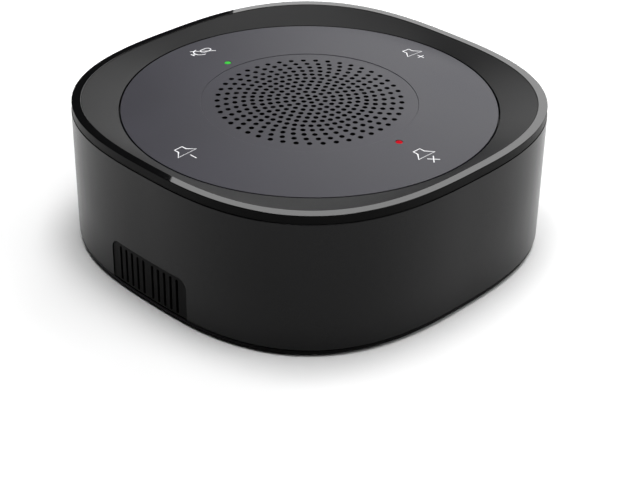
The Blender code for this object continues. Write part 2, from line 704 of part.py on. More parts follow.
def lamp(name, x, chip_finish, pipe_finish):
    """A light emitting chip on the touch board and the pipe that brings its light to the panel."""
    chip_bottom = TOUCH_BOARD_TOP + CLEAR
    block(f"{name}_lamp_chip", CHIP_SIZE, chip_finish, (x, 0, chip_bottom))
    bottom = chip_bottom + CHIP_SIZE[2] + CLEAR
    loops = [circle(PIPE_RADIUS, height, ROUND_STEPS) for height in (bottom, dome(LAMP_RADIUS))]
    lofted(f"{name}_light_pipe", loops, pipe_finish, at=(x, 0, 0))


def driver_frame(parent, basket_finish, gasket_finish):
    """The loudspeaker's basket with its windows, and the gasket under its flange."""
    taper_in = MOTOR_RADIUS - BASKET_WALL
    profile = [
        (FLANGE_RADIUS, FLANGE_TOP),
        (FLANGE_RADIUS, FLANGE_BOTTOM),
        (BASKET_RADIUS, FLANGE_BOTTOM),
        (BASKET_RADIUS, -DRUM_DEPTH),
        (MOTOR_RADIUS, MOTOR_RING_TOP),
        (MOTOR_RADIUS, MOTOR_RING_BOTTOM),
        (MOTOR_RING_IN, MOTOR_RING_BOTTOM),
        (MOTOR_RING_IN, MOTOR_RING_TOP),
        (taper_in, MOTOR_RING_TOP),
        (BASKET_IN, -DRUM_DEPTH),
        (BASKET_IN, FLANGE_TOP),
    ]
    basket = turned("driver_basket", profile, basket_finish, parent=parent)
    low = DECK_TOP + MOTOR_RING_TOP + WINDOW_MARGIN
    high = DECK_TOP - DRUM_DEPTH - WINDOW_MARGIN
    for length, width in ((FLANGE_RADIUS, WINDOW_WIDTH / 2), (WINDOW_WIDTH / 2, FLANGE_RADIUS)):
        window = bmesh.new()
        box(window, (-length, -width, low), (length, width, high))
        combine(basket, window, "DIFFERENCE")
    screws = [centre for _, centre in corner_places(DRIVER_SCREW_AT)]
    low, high = DECK_TOP + FLANGE_BOTTOM - BORE_EXTRA, DECK_TOP + FLANGE_TOP + BORE_EXTRA
    combine(basket, cylinders(screws, DRIVER_SCREW[2] + CLEAR, low, high, SCREW_STEPS), "DIFFERENCE")
    inner = BASKET_RADIUS + 2 * CLEAR
    outer = inner + GASKET_WIDTH
    top = CLEAR + GASKET_THICK
    profile = [(outer, top), (outer, CLEAR), (inner, CLEAR), (inner, top)]
    turned("driver_gasket", profile, gasket_finish, parent=parent)


def driver_motor(parent, steel_finish, magnet_finish):
    """Top plate, ring magnet and yoke with its centre pole."""
    plate_out = MOTOR_RADIUS - PLATE_EDGE
    plate_in = COIL_OUT + COIL_GAP
    profile = [
        (plate_out, PLATE_TOP),
        (plate_out, PLATE_BOTTOM),
        (plate_in, PLATE_BOTTOM),
        (plate_in, PLATE_TOP),
    ]
    turned("driver_top_plate", profile, steel_finish, parent=parent)
    outer = MOTOR_RADIUS + MAGNET_EDGE
    inner = plate_in + MAGNET_EDGE
    top, bottom = PLATE_BOTTOM - CLEAR, YOKE_TOP + CLEAR
    profile = [(outer, top), (outer, bottom), (inner, bottom), (inner, top)]
    turned("driver_magnet", profile, magnet_finish, parent=parent)
    profile = [
        (0, PLATE_TOP),
        (POLE_RADIUS, PLATE_TOP),
        (POLE_RADIUS, YOKE_TOP),
        (plate_out, YOKE_TOP),
        (plate_out, YOKE_BOTTOM),
        (0, YOKE_BOTTOM),
    ]
    turned("driver_yoke", profile, steel_finish, parent=parent)


def driver_cone(parent, cone_finish, coil_finish):
    """The moving pieces: cone, dust cap and voice coil."""
    profile = [
        (CONE_RADIUS, FLANGE_TOP),
        (CONE_RADIUS, FLANGE_TOP - CONE_THICK),
        (CONE_LIP_IN + CONE_THICK / 2, FLANGE_TOP - CONE_THICK),
        (NECK_RADIUS, COIL_TOP - 1.5 * CONE_THICK),
        (NECK_RADIUS, COIL_TOP),
        (CONE_LIP_IN, FLANGE_TOP),
    ]
    turned("speaker_cone", profile, cone_finish, parent=parent)
    seat = COIL_TOP + (CAP_RADIUS - NECK_RADIUS) * CONE_SLOPE + CLEAR + CAP_THICK / 4
    turns = spread(math.pi / 2, 0, CAP_BANDS)
    outer = [(CAP_RADIUS * math.cos(t), seat + CAP_RISE * math.sin(t)) for t in turns]
    inner_radius, inner_rise = CAP_RADIUS - CAP_THICK, CAP_RISE - CAP_THICK
    inner = [(inner_radius * math.cos(t), seat + inner_rise * math.sin(t)) for t in reversed(turns)]
    outer[0], inner[-1] = (0, outer[0][1]), (0, inner[-1][1])
    turned("dust_cap", outer + inner, cone_finish, parent=parent)
    bottom = PLATE_TOP - COIL_DROP
    profile = [(COIL_OUT, COIL_TOP), (COIL_OUT, bottom), (COIL_IN, bottom), (COIL_IN, COIL_TOP)]
    turned("voice_coil", profile, coil_finish, parent=parent)


def driver_suspension(parent, roll_finish, spider_finish):
    """The half-roll surround and the corrugated spider that centre the moving pieces."""
    bottom = FLANGE_TOP + CLEAR
    top = bottom + ROLL_THICK
    middle = (CONE_RADIUS + BASKET_RADIUS) / 2
    reach = (BASKET_RADIUS - CONE_RADIUS) / 2
    turns = spread(math.radians(20), math.radians(160), ROLL_BANDS)
    over = [
        (middle + (reach + ROLL_THICK / 2) * math.cos(t), bottom + (reach + ROLL_THICK / 2) * math.sin(t))
        for t in turns
    ]
    under = [
        (middle + (reach - ROLL_THICK / 2) * math.cos(t), bottom + (reach - ROLL_THICK / 2) * math.sin(t))
        for t in reversed(turns)
    ]
    outer = BASKET_RADIUS + ROLL_LIP
    profile = [(outer, bottom), (outer, top)] + over + [(CONE_LIP_IN, top), (CONE_LIP_IN, bottom)] + under
    turned("cone_surround", profile, roll_finish, parent=parent)
    bottom = MOTOR_RING_TOP + CLEAR
    outer = MOTOR_RADIUS - BASKET_WALL - CLEAR
    radii = spread(NECK_RADIUS, outer - SPIDER_LIP, SPIDER_BANDS)
    waves = [SPIDER_WAVE * (number % 2) for number in range(SPIDER_BANDS + 1)]
    low = [(radius, bottom + wave) for radius, wave in zip(radii, waves)] + [(outer, bottom)]
    high = [(radius, height + SPIDER_THICK) for radius, height in reversed(low)]
    turned("cone_spider", low + high, spider_finish, parent=parent)


def screw_set(kind, sizes, distance, seat, facing_up, finish):
    """Four alike screws; seat is the height of the face that their heads press on."""
    head_radius, head_height, shank_radius, length = sizes
    up = 1 if facing_up else -1
    profile = [
        (0, up * head_height),
        (head_radius, up * head_height),
        (head_radius, 0),
        (shank_radius, 0),
        (shank_radius, -up * length),
        (0, -up * length),
    ]
    first = None
    for name, (x, y) in corner_places(distance):
        if first is None:
            first = turned(f"{kind}_screw_{name}", profile, finish, SCREW_STEPS, (x, y, seat))
        else:
            placed(f"{kind}_screw_{name}", first.data, (x, y, seat))


def main_board(finish):
    """Circuit board on the base plate's posts, with a tab at the rear for the data inlet."""
    half, tab, end = BOARD_HALF, TAB_HALF, SLEEVE_IN - TAB_GAP
    outline = [(-half, -half), (half, -half), (half, half), (tab, half), (tab, end)]
    outline += [(-x, y) for x, y in reversed(outline[2:])]
    board = finished("main_board", extruded(outline, upright, BOARD_BOTTOM, BOARD_TOP), finish)
    posts = [centre for _, centre in corner_places(BOARD_POST_AT)]
    low, high = BOARD_BOTTOM - BORE_EXTRA / 2, BOARD_TOP + BORE_EXTRA
    combine(board, cylinders(posts, BOARD_SCREW[2] + CLEAR, low, high, SCREW_STEPS), "DIFFERENCE")


def board_parts(chip_finish, can_finish):
    """The signal chip, the amplifier and two capacitors."""
    front = CHIP_INSET - BOARD_HALF
    block("signal_chip", SIGNAL_CHIP_SIZE, chip_finish, (SIGNAL_CHIP_SIDE, front, PARTS_BOTTOM))
    block("amplifier_chip", AMPLIFIER_SIZE, chip_finish, (AMPLIFIER_SIDE, front, PARTS_BOTTOM))
    radius, groove = CAPACITOR_RADIUS, CAPACITOR_GROOVE
    profile = [
        (0, CAPACITOR_HEIGHT),
        (radius - groove, CAPACITOR_HEIGHT),
        (radius, CAPACITOR_HEIGHT - groove),
        (radius, 4 * groove),
        (radius - groove, 3 * groove),
        (radius, 2 * groove),
        (radius, 0),
        (0, 0),
    ]
    x = MOTOR_RADIUS + MAGNET_EDGE + CAPACITOR_GAP + radius
    first = turned("capacitor_1", profile, can_finish, ROUND_STEPS, (x, CAPACITOR_BACK, PARTS_BOTTOM))
    placed("capacitor_2", first.data, (x, CAPACITOR_BACK + CAPACITOR_STEP, PARTS_BOTTOM))


def data_inlet(shell_finish, tongue_finish):
    """The inlet's metal shell, open to the rear, and the tongue inside it."""
    outer = stadium(USB_WIDTH, USB_HEIGHT, USB_ARC)
    inner = stadium(USB_WIDTH - 2 * USB_WALL, USB_HEIGHT - 2 * USB_WALL, USB_ARC)
    loops = [
        [(x, z, 0) for x, z in outer],
        [(x, z, USB_DEPTH) for x, z in outer],
        [(x, z, USB_DEPTH) for x, z in inner],
        [(x, z, USB_WALL) for x, z in inner],
    ]
    shell = lofted("inlet_shell", loops, shell_finish, at=(0, USB_BACK, USB_CENTRE))
    shell.rotation_euler = (-math.pi / 2, 0, 0)
    length = USB_DEPTH - USB_WALL - CLEAR - TONGUE_SETBACK
    mesh = bmesh.new()
    half, thick = TONGUE_WIDTH / 2, TONGUE_THICK / 2
    box(mesh, (-half, 0, -thick), (half, length, thick))
    finished("inlet_tongue", mesh, tongue_finish, (0, USB_BACK + USB_WALL + CLEAR, USB_CENTRE))


def ribbon_cable(ribbon_finish, socket_finish):
    """Flat cable from the touch board through the deck to the main board, with both sockets."""
    upper_socket = TOUCH_BOARD_BOTTOM - CLEAR - SOCKET_SIZE[2]
    block("upper_ribbon_socket", SOCKET_SIZE, socket_finish, (0, RIBBON_AT, upper_socket))
    block("lower_ribbon_socket", SOCKET_SIZE, socket_finish, (0, RIBBON_AT, PARTS_BOTTOM))
    start = RIBBON_AT + SOCKET_SIZE[1] / 2 + CLEAR
    run = start + RIBBON_REACH
    top = upper_socket + SOCKET_SIZE[2] / 2
    bottom = PARTS_BOTTOM + SOCKET_SIZE[2] / 2
    half = RIBBON_THICK / 2

    def edge(offset):
        radius = RIBBON_BEND + offset
        centre = run - RIBBON_BEND
        upper = [
            (centre + radius * math.cos(t), top - RIBBON_BEND + radius * math.sin(t))
            for t in spread(math.pi / 2, 0, RIBBON_ARC)
        ]
        lower = [
            (centre + radius * math.cos(t), bottom + RIBBON_BEND + radius * math.sin(t))
            for t in spread(0, -math.pi / 2, RIBBON_ARC)
        ]
        return [(start, top + offset)] + upper + lower + [(start, bottom - offset)]

    outline = edge(half) + edge(-half)[::-1]
    mesh = extruded(outline, facing_side, -RIBBON_WIDTH / 2, RIBBON_WIDTH / 2)
    finished("ribbon_cable", mesh, ribbon_finish)


def main():
    for item in list(bpy.data.objects):
        bpy.data.objects.remove(item, do_unlink=True)

    satin_black = material("satin_black_plastic", 0.018, 0.45)
    gloss_black = material("gloss_black_plastic", 0.006, 0.08)
    dish_black = material("dish_black_plastic", 0.03, 0.5)
    panel_grey = material("panel_grey_plastic", (0.085, 0.083, 0.095), 0.5)
    vent_black = material("vent_black_plastic", 0.008, 0.5)
    cloth_black = material("black_cloth", 0.004, 0.95)
    rubber = material("black_rubber", 0.012, 0.9)
    board_green = material("circuit_board", (0.01, 0.09, 0.03), 0.5)
    chip_black = material("chip_resin", 0.01, 0.6)
    steel = material("plated_steel", 0.5, 0.3, 1.0)
    ferrite = material("ferrite", 0.02, 0.7)
    aluminium = material("aluminium_can", 0.7, 0.35, 1.0)
    copper = material("copper_wire", (0.6, 0.22, 0.08), 0.35, 1.0)
    paper = material("black_paper", 0.012, 0.85)
    yellow_cloth = material("resin_cloth", (0.35, 0.2, 0.06), 0.85)
    white_plastic = material("white_plastic", 0.7, 0.45)
    green_light = material("green_light_pipe", (0.02, 0.6, 0.05), 0.25)
    red_light = material("red_light_pipe", (0.6, 0.01, 0.01), 0.25)
    can_metal = material("microphone_can", 0.6, 0.3, 1.0)

    base_plate(gloss_black)
    feet(rubber)
    wall_sleeve(satin_black)
    vent_grille(vent_black, cloth_black)
    trim_ring(gloss_black)
    dish_bezel(dish_black)
    touch_panel(panel_grey)
    speaker_grille(panel_grey)
    grille_cloth(cloth_black)
    touch_board(board_green, can_metal)
    lamp("green", -LAMP_RADIUS, white_plastic, green_light)
    lamp("red", LAMP_RADIUS, white_plastic, red_light)

    driver = bpy.data.objects.new("driver_seat", None)
    driver.location = (0, 0, DECK_TOP)
    bpy.context.scene.collection.objects.link(driver)
    travel = bpy.data.objects.new("cone_travel_axis", None)
    travel.parent = driver
    bpy.context.scene.collection.objects.link(travel)
    driver_frame(driver, steel, rubber)
    driver_motor(driver, steel, ferrite)
    driver_cone(travel, paper, copper)
    driver_suspension(driver, rubber, yellow_cloth)

    main_board(board_green)
    board_parts(chip_black, aluminium)
    data_inlet(steel, chip_black)
    ribbon_cable(white_plastic, chip_black)
    base_seat = RECESS_TOP + CLEAR + BASE_SCREW[1]
    screw_set("base", BASE_SCREW, POST_AT, base_seat, False, steel)
    screw_set("board", BOARD_SCREW, BOARD_POST_AT, PARTS_BOTTOM, True, steel)
    driver_seat = DECK_TOP + FLANGE_TOP + CLEAR
    screw_set("driver", DRIVER_SCREW, DRIVER_SCREW_AT, driver_seat, True, steel)


main()
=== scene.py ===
"""Looks of a conference speakerphone: a rounded square table-top housing with a gloss ring, a
domed grey touch panel, a perforated loudspeaker grille and a slotted vent low in the front wall.

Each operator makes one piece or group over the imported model's bodies, and the last one makes the
stage. Lengths are metres, +Z is up and -Y is the front, the side with the vent.
"""

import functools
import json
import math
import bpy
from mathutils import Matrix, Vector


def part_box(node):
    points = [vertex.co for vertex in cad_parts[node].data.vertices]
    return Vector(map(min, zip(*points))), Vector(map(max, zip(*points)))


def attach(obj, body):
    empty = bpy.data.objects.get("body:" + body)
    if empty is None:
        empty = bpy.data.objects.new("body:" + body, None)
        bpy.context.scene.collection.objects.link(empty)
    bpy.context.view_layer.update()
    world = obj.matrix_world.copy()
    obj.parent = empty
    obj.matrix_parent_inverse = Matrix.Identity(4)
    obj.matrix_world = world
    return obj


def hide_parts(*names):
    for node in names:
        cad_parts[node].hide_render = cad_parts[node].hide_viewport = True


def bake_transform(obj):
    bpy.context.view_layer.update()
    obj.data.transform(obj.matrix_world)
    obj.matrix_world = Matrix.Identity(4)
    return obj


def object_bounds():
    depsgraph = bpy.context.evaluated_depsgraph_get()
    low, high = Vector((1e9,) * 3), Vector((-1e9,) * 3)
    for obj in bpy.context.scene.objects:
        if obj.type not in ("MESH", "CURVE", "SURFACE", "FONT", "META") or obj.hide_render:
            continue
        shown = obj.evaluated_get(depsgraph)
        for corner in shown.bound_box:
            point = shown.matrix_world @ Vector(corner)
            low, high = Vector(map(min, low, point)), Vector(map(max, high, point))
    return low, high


bl_info = {
    "name": "Conference Speakerphone",
    "version": (1, 0, 0),
    "blender": (4, 5, 0),
    "location": "View3D > Sidebar > Speakerphone",
    "description": "Builds the visible pieces, finishes and stage of a conference speakerphone",
    "category": "Object",
}

import bmesh
import bpy
from bpy.props import FloatProperty, FloatVectorProperty, IntProperty, PointerProperty
from mathutils import Matrix, Vector

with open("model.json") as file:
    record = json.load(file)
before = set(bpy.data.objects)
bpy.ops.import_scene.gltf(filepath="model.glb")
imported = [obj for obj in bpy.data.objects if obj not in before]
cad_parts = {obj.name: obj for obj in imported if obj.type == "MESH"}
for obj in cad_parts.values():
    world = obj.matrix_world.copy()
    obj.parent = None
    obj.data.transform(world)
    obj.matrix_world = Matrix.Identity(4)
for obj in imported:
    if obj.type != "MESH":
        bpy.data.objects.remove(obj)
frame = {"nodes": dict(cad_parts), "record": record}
CAD_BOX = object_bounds()
box = functools.cache(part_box)

MM = 0.001
WELD = 0.0005 * MM
SHARP_EDGE = math.radians(35)
UPRIGHT = 0.5  # a face whose normal rises less than this counts as upright
SENSOR_MM = 36.0
SHADER = "Principled BSDF"
CORNERS = ("front_left", "front_right", "rear_left", "rear_right")
LAMPS = ("green", "red")


def srgb(code):
    """Linear colour of an sRGB hex code."""
    channels = [int(code[place:place + 2], 16) / 255 for place in (0, 2, 4)]
    linear = [c / 12.92 if c <= 0.04045 else ((c + 0.055) / 1.055) ** 2.4 for c in channels]
    return (*linear, 1.0)


# Settings


class SpeakerphoneHousing(bpy.types.PropertyGroup):
    """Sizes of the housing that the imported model's boxes do not give."""

    power: FloatProperty(
        name="Corner Power", description="Roundness of the square: 2 is a circle", default=2.72
    )
    steps: IntProperty(name="Outline Steps", description="Points round the outline", default=192, min=32)
    clear: FloatProperty(
        name="Joint Gap", description="Gap between pieces that seat on each other", default=0.3 * MM,
        unit="LENGTH",
    )
    ring_width: FloatProperty(
        name="Ring Width", description="Width of the gloss ring's flat top", default=2.6 * MM, unit="LENGTH"
    )
    base_rim: FloatProperty(
        name="Base Rim", description="Height of the rim under the wall", default=1.4 * MM, unit="LENGTH"
    )
    dish_drop: FloatProperty(
        name="Dish Drop", description="Dish edge below the ring's top", default=0.12 * MM, unit="LENGTH"
    )
    dish_bands: IntProperty(
        name="Dish Bands", description="Rows of faces across the slope", default=8, min=2
    )
    vent_half: FloatProperty(
        name="Vent Half Width", description="Half width of the vent", default=16.3 * MM, unit="LENGTH"
    )
    vent_top: FloatProperty(
        name="Vent Top", description="Height of the vent's upper edge", default=15.3 * MM, unit="LENGTH"
    )
    vent_corner: FloatProperty(
        name="Vent Corner", description="Radius of its upper corners", default=3.2 * MM, unit="LENGTH"
    )
    vent_sink: FloatProperty(
        name="Vent Sink", description="Vent insert behind the wall", default=0.3 * MM, unit="LENGTH"
    )
    slots: IntProperty(name="Vent Slots", description="Slots on each side of the vent's middle", default=5)
    slot_width: FloatProperty(
        name="Slot Width", description="Width of a vent slot", default=0.9 * MM, unit="LENGTH"
    )
    slot_pitch: FloatProperty(
        name="Slot Pitch", description="Step between vent slots", default=2.6 * MM, unit="LENGTH"
    )


class SpeakerphonePanel(bpy.types.PropertyGroup):
    """Sizes of the domed touch panel, its grille and its signs."""

    rise: FloatProperty(
        name="Dome Rise", description="Height of the panel's dome", default=1.53 * MM, unit="LENGTH"
    )
    drop: FloatProperty(
        name="Rim Drop", description="Panel rim below the ring's top", default=2.75 * MM, unit="LENGTH"
    )
    bands: IntProperty(name="Dome Bands", description="Rows of faces across it", default=12)
    seam: FloatProperty(
        name="Grille Seam", description="Radius of the grille's seat", default=32.8 * MM, unit="LENGTH"
    )
    rabbet: FloatProperty(
        name="Grille Ledge", description="Width of the ledge under the grille", default=1.6 * MM,
        unit="LENGTH",
    )
    sink: FloatProperty(
        name="Grille Sink", description="Grille below the panel's dome", default=0.15 * MM, unit="LENGTH"
    )
    hole: FloatProperty(
        name="Hole Radius", description="Radius of a grille hole", default=0.84 * MM, unit="LENGTH"
    )
    hole_sides: IntProperty(name="Hole Sides", description="Points round a hole", default=12)
    inner_rings: IntProperty(
        name="Inner Rings", description="Rings of holes that gain six holes each", default=6
    )
    inner_pitch: FloatProperty(
        name="Inner Pitch", description="Step between the inner rings", default=2.43 * MM, unit="LENGTH"
    )
    outer_rings: IntProperty(
        name="Outer Rings", description="Rings of holes that lean into a swirl", default=5
    )
    outer_holes: IntProperty(name="Outer Holes", description="Holes in each outer ring", default=45)
    outer_pitch: FloatProperty(
        name="Outer Pitch", description="Step between the outer rings", default=2.64 * MM, unit="LENGTH"
    )
    line: FloatProperty(
        name="Sign Line", description="Width of a printed line", default=0.52 * MM, unit="LENGTH"
    )
    ink: FloatProperty(
        name="Ink Height", description="Height of the ink on the panel", default=0.02 * MM, unit="LENGTH"
    )


class SpeakerphoneColours(bpy.types.PropertyGroup):
    """Colours of the surfaces that show most, as the two tones between which each one drifts."""

    wall_dark: FloatVectorProperty(
        name="Wall Dark", description="Deeper tone of the wall", default=srgb("050506"), size=4,
        subtype="COLOR",
    )
    wall_light: FloatVectorProperty(
        name="Wall Light", description="Paler tone of the wall", default=srgb("070708"), size=4,
        subtype="COLOR",
    )
    dish_dark: FloatVectorProperty(
        name="Dish Dark", description="Deeper tone of the dish", default=srgb("0b0b0c"), size=4,
        subtype="COLOR",
    )
    dish_light: FloatVectorProperty(
        name="Dish Light", description="Paler tone of the dish", default=srgb("0e0e0f"), size=4,
        subtype="COLOR",
    )
    panel_dark: FloatVectorProperty(
        name="Panel Dark", description="Deeper tone of the touch panel", default=srgb("323138"), size=4,
        subtype="COLOR",
    )
    panel_light: FloatVectorProperty(
        name="Panel Light", description="Paler tone of the touch panel", default=srgb("37363e"), size=4,
        subtype="COLOR",
    )


class SpeakerphoneStage(bpy.types.PropertyGroup):
    """Camera, softboxes, room light and floor."""

    lens: FloatProperty(
        name="Lens", description="Focal length on a 36 mm wide sensor", default=89.54, unit="CAMERA"
    )
    camera_at: FloatVectorProperty(
        name="Camera", description="Place of the camera", default=(0.30304, -0.30488, 0.25877),
        subtype="TRANSLATION",
    )
    camera_turn: FloatVectorProperty(
        name="Camera Turn", description="Rotation of the camera", subtype="EULER",
        default=(math.radians(58.787), math.radians(-0.573), math.radians(45.369)),
    )
    shift: FloatVectorProperty(
        name="Shift", description="Lens shift across and up", size=2, default=(0.02632, -0.0171)
    )
    rear: FloatProperty(
        name="Rear Softbox", description="Power of the light behind", default=4.6, unit="POWER"
    )
    top: FloatProperty(
        name="Top Softbox", description="Power of the light overhead", default=31.0, unit="POWER"
    )
    right: FloatProperty(
        name="Right Softbox", description="Power of the light at the right", default=3.4, unit="POWER"
    )
    world: FloatProperty(name="Room", description="Strength of the room's light", default=0.02)
    # Strength of the painted light that the floor emits away from the object
    glow: FloatProperty(
        name="Floor White", description="White that the floor adds where it is seen", default=0.3
    )


# Mesh helpers


def outline_radius(turn):
    """Radius of a rounded square of half width 1 at a polar angle."""
    power = bpy.context.scene.speakerphone_housing.power
    return (abs(math.cos(turn)) ** power + abs(math.sin(turn)) ** power) ** (-1 / power)


def front_wall(half, x):
    """How far in front of the axis a rounded square's front lies at x."""
    power = bpy.context.scene.speakerphone_housing.power
    return -((half ** power - abs(x) ** power) ** (1 / power))


def dome(radius):
    """Height of the panel's domed top at a distance from the axis."""
    panel = bpy.context.scene.speakerphone_panel
    rim = box("trim_ring")[1][2] - panel.drop
    edge = box("touch_panel")[1][0]
    return rim + panel.rise * (1 - (radius / edge) ** 2)


def plan(node):
    """Centre and radius of an upright round node, seen from above."""
    low, high = box(node)
    centre = ((low[0] + high[0]) / 2, (low[1] + high[1]) / 2)
    return centre, (high[0] - low[0]) / 2


def rows_swept(rows, solid=False):
    """Sweep a circle through rows of (square, round, height): the square part follows the rounded
    square and the round part a circle. A solid is capped; anything else closes into a ring."""
    mesh = bmesh.new()
    bmesh.ops.create_circle(mesh, segments=bpy.context.scene.speakerphone_housing.steps, radius=1.0)
    loop = mesh.edges[:]
    for number, (square, round_part, height) in enumerate(rows if solid else rows + rows[:1]):
        if number:
            old = set(mesh.verts)
            bmesh.ops.extrude_edge_only(mesh, edges=loop)
            loop = [edge for edge in mesh.edges if not old.intersection(edge.verts)]
        for corner in {corner for edge in loop for corner in edge.verts}:
            turn = math.atan2(corner.co.y, corner.co.x)
            radius = square * outline_radius(turn) + round_part
            corner.co = (radius * math.cos(turn), radius * math.sin(turn), height)
    bmesh.ops.remove_doubles(mesh, verts=mesh.verts, dist=WELD)
    if solid:
        bmesh.ops.holes_fill(mesh, edges=mesh.edges)
    return mesh


def spun(profile, steps, centre=(0, 0), closed=False):
    """Turn (radius, height) points round an upright axis. An open profile starts and ends on the axis,
    and a closed one stays off it."""
    mesh = bmesh.new()
    corners = [mesh.verts.new((radius, 0, height)) for radius, height in profile]
    following = corners[1:] + corners[:1] if closed else corners[1:]
    edges = [mesh.edges.new(pair) for pair in zip(corners, following)]
    bmesh.ops.spin(
        mesh, geom=corners + edges, cent=(0, 0, 0), axis=(0, 0, 1), angle=math.tau, steps=steps,
        use_merge=True,
    )
    bmesh.ops.remove_doubles(mesh, verts=mesh.verts, dist=WELD)
    bmesh.ops.translate(mesh, verts=mesh.verts, vec=(*centre, 0))
    return mesh


def pillar(mesh, centre, radius, bottom, top, sides=32):
    """Add an upright cylinder."""
    place = Matrix.Translation((*centre, (bottom + top) / 2))
    bmesh.ops.create_cone(
        mesh, cap_ends=True, segments=sides, radius1=radius, radius2=radius, depth=top - bottom,
        matrix=place,
    )


def loop_added(mesh, points):
    """A closed loop of edges through flat points."""
    corners = [mesh.verts.new((u, v, 0)) for u, v in points]
    return [mesh.edges.new(pair) for pair in zip(corners, corners[1:] + corners[:1])]


def thickened(mesh, place, near, far):
    """Give a flat plan its thickness; place(u, v, depth) says where a plan point lies."""
    front = mesh.verts[:]
    made = bmesh.ops.extrude_face_region(mesh, geom=mesh.faces[:])["geom"]
    back = [part for part in made if isinstance(part, bmesh.types.BMVert)]
    for corners, depth in ((front, near), (back, far)):
        for corner in corners:
            corner.co = place(corner.co.x, corner.co.y, depth)


def vent_outline(half, bottom, top, corner, arc=8, columns=16):
    """Front view of the vent: square at the bottom, rounded at its upper corners."""
    turns = [math.pi / 2 * step / arc for step in range(arc + 1)]
    right = [(half - corner + corner * math.cos(t), top - corner + corner * math.sin(t)) for t in turns]
    left = [(-x, z) for x, z in reversed(right)]
    reach = half - corner
    crown = [(reach - 2 * reach * step / columns, top) for step in range(1, columns)]
    floor = [(-half + 2 * half * step / columns, bottom) for step in range(1, columns)]
    return right + crown + left + [(-half, bottom)] + floor + [(half, bottom)]


def stadium(width, height, arc=10):
    """A slot outline: two half circles joined by straight sides."""
    radius = height / 2
    turns = [math.pi * step / arc - math.pi / 2 for step in range(arc + 1)]
    right = [(width / 2 - radius + radius * math.cos(t), radius * math.sin(t)) for t in turns]
    return right + [(-x, -y) for x, y in right]


def sides_marked(mesh):
    """Give the upright faces of a mesh the second of its finishes."""
    mesh.normal_update()
    for face in mesh.faces:
        face.material_index = int(abs(face.normal.z) < UPRIGHT)


def placed(name, mesh):
    """An object of the mesh, its faces outward; the mesh is given up."""
    bmesh.ops.recalc_face_normals(mesh, faces=mesh.faces)
    if mesh.calc_volume(signed=True) < 0:
        bmesh.ops.reverse_faces(mesh, faces=mesh.faces)
    data = bpy.data.meshes.new(name)
    mesh.to_mesh(data)
    mesh.free()
    item = bpy.data.objects.new(name, data)
    bpy.context.scene.collection.objects.link(item)
    return item


def cut_from(mesh, cutter):
    """The mesh less the cutter, both given up."""
    body, tool = placed("body", mesh), placed("cutter", cutter)
    change = body.modifiers.new("cut", "BOOLEAN")
    change.operation = "DIFFERENCE"
    change.solver = "EXACT"
    change.object = tool
    solved = body.evaluated_get(bpy.context.evaluated_depsgraph_get())
    result = bmesh.new()
    result.from_mesh(solved.to_mesh())
    solved.to_mesh_clear()
    for item in (body, tool):
        data = item.data
        bpy.data.objects.remove(item)
        bpy.data.meshes.remove(data)
    bmesh.ops.remove_doubles(result, verts=result.verts, dist=WELD)
    return result


def piece(name, mesh, slot, nodes=(), edge=0.0, segments=3, looks=(), flexes=False):
    """Finish a piece: its looks, smooth faces with rounded edges, and its body. One that flexes is attached
    to no body."""
    item = placed(name, mesh)
    for look in looks or (slot,):
        item.data.materials.append(finish(look))
    item.data.shade_smooth()
    item.data.set_sharp_from_angle(angle=SHARP_EDGE)
    if edge:
        bevel = item.modifiers.new("moulded_edges", "BEVEL")
        bevel.width = edge
        bevel.segments = segments
        bevel.limit_method = "ANGLE"
        bevel.angle_limit = SHARP_EDGE
        bevel.harden_normals = True
    if not flexes:
        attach(item, "housing")
    if nodes:
        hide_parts(*nodes)
    return item


# Finishes


def add_node(tree, kind, inputs=None, stops=(), **settings):
    """A new node with its settings, its socket values and a ramp's stops of (position, colour); a socket
    value may be another node's output."""
    node = tree.nodes.new(kind)
    for key, value in settings.items():
        setattr(node, key, value)
    for key, value in (inputs or {}).items():
        if isinstance(value, bpy.types.NodeSocket):
            tree.links.new(value, node.inputs[key])
        else:
            node.inputs[key].default_value = value
    for number, (position, colour) in enumerate(stops):
        node.color_ramp.elements[number].position = position
        node.color_ramp.elements[number].color = colour
    return node


def per_metre(size_mm):
    """Texture scale at which one cell is this many millimetres."""
    return 1.0 / (size_mm * MM)


def wave_scale(spacing_mm):
    """Scale of a wave texture, whose phase gains 20 a unit, at which its bands lie this far apart."""
    return per_metre(spacing_mm) * math.tau / 20


def started(name, **constants):
    """A new material with constants on its shader: the material, its tree and the Object coordinates."""
    material = bpy.data.materials.new(name)
    material.use_nodes = True
    tree = material.node_tree
    for key, value in constants.items():
        tree.nodes[SHADER].inputs[key.replace("_", " ")].default_value = value
    return material, tree, add_node(tree, "ShaderNodeTexCoord").outputs["Object"]


def dressed(tree, tint, tones, gloss, roughness, relief, strength, depth_mm, span=(0.3, 0.7)):
    """Let one pattern tint the surface, one vary its gloss and one stand up from it."""
    colour = add_node(tree, "ShaderNodeValToRGB", {"Fac": tint}, stops=zip(span, tones))
    spread = add_node(
        tree, "ShaderNodeMapRange", {"Value": gloss, "To Min": roughness[0], "To Max": roughness[1]}
    )
    bump = add_node(
        tree, "ShaderNodeBump", {"Height": relief, "Strength": strength, "Distance": depth_mm * MM}
    )
    sockets = tree.nodes[SHADER].inputs
    tree.links.new(colour.outputs["Color"], sockets["Base Color"])
    tree.links.new(spread.outputs["Result"], sockets["Roughness"])
    tree.links.new(bump.outputs["Normal"], sockets["Normal"])


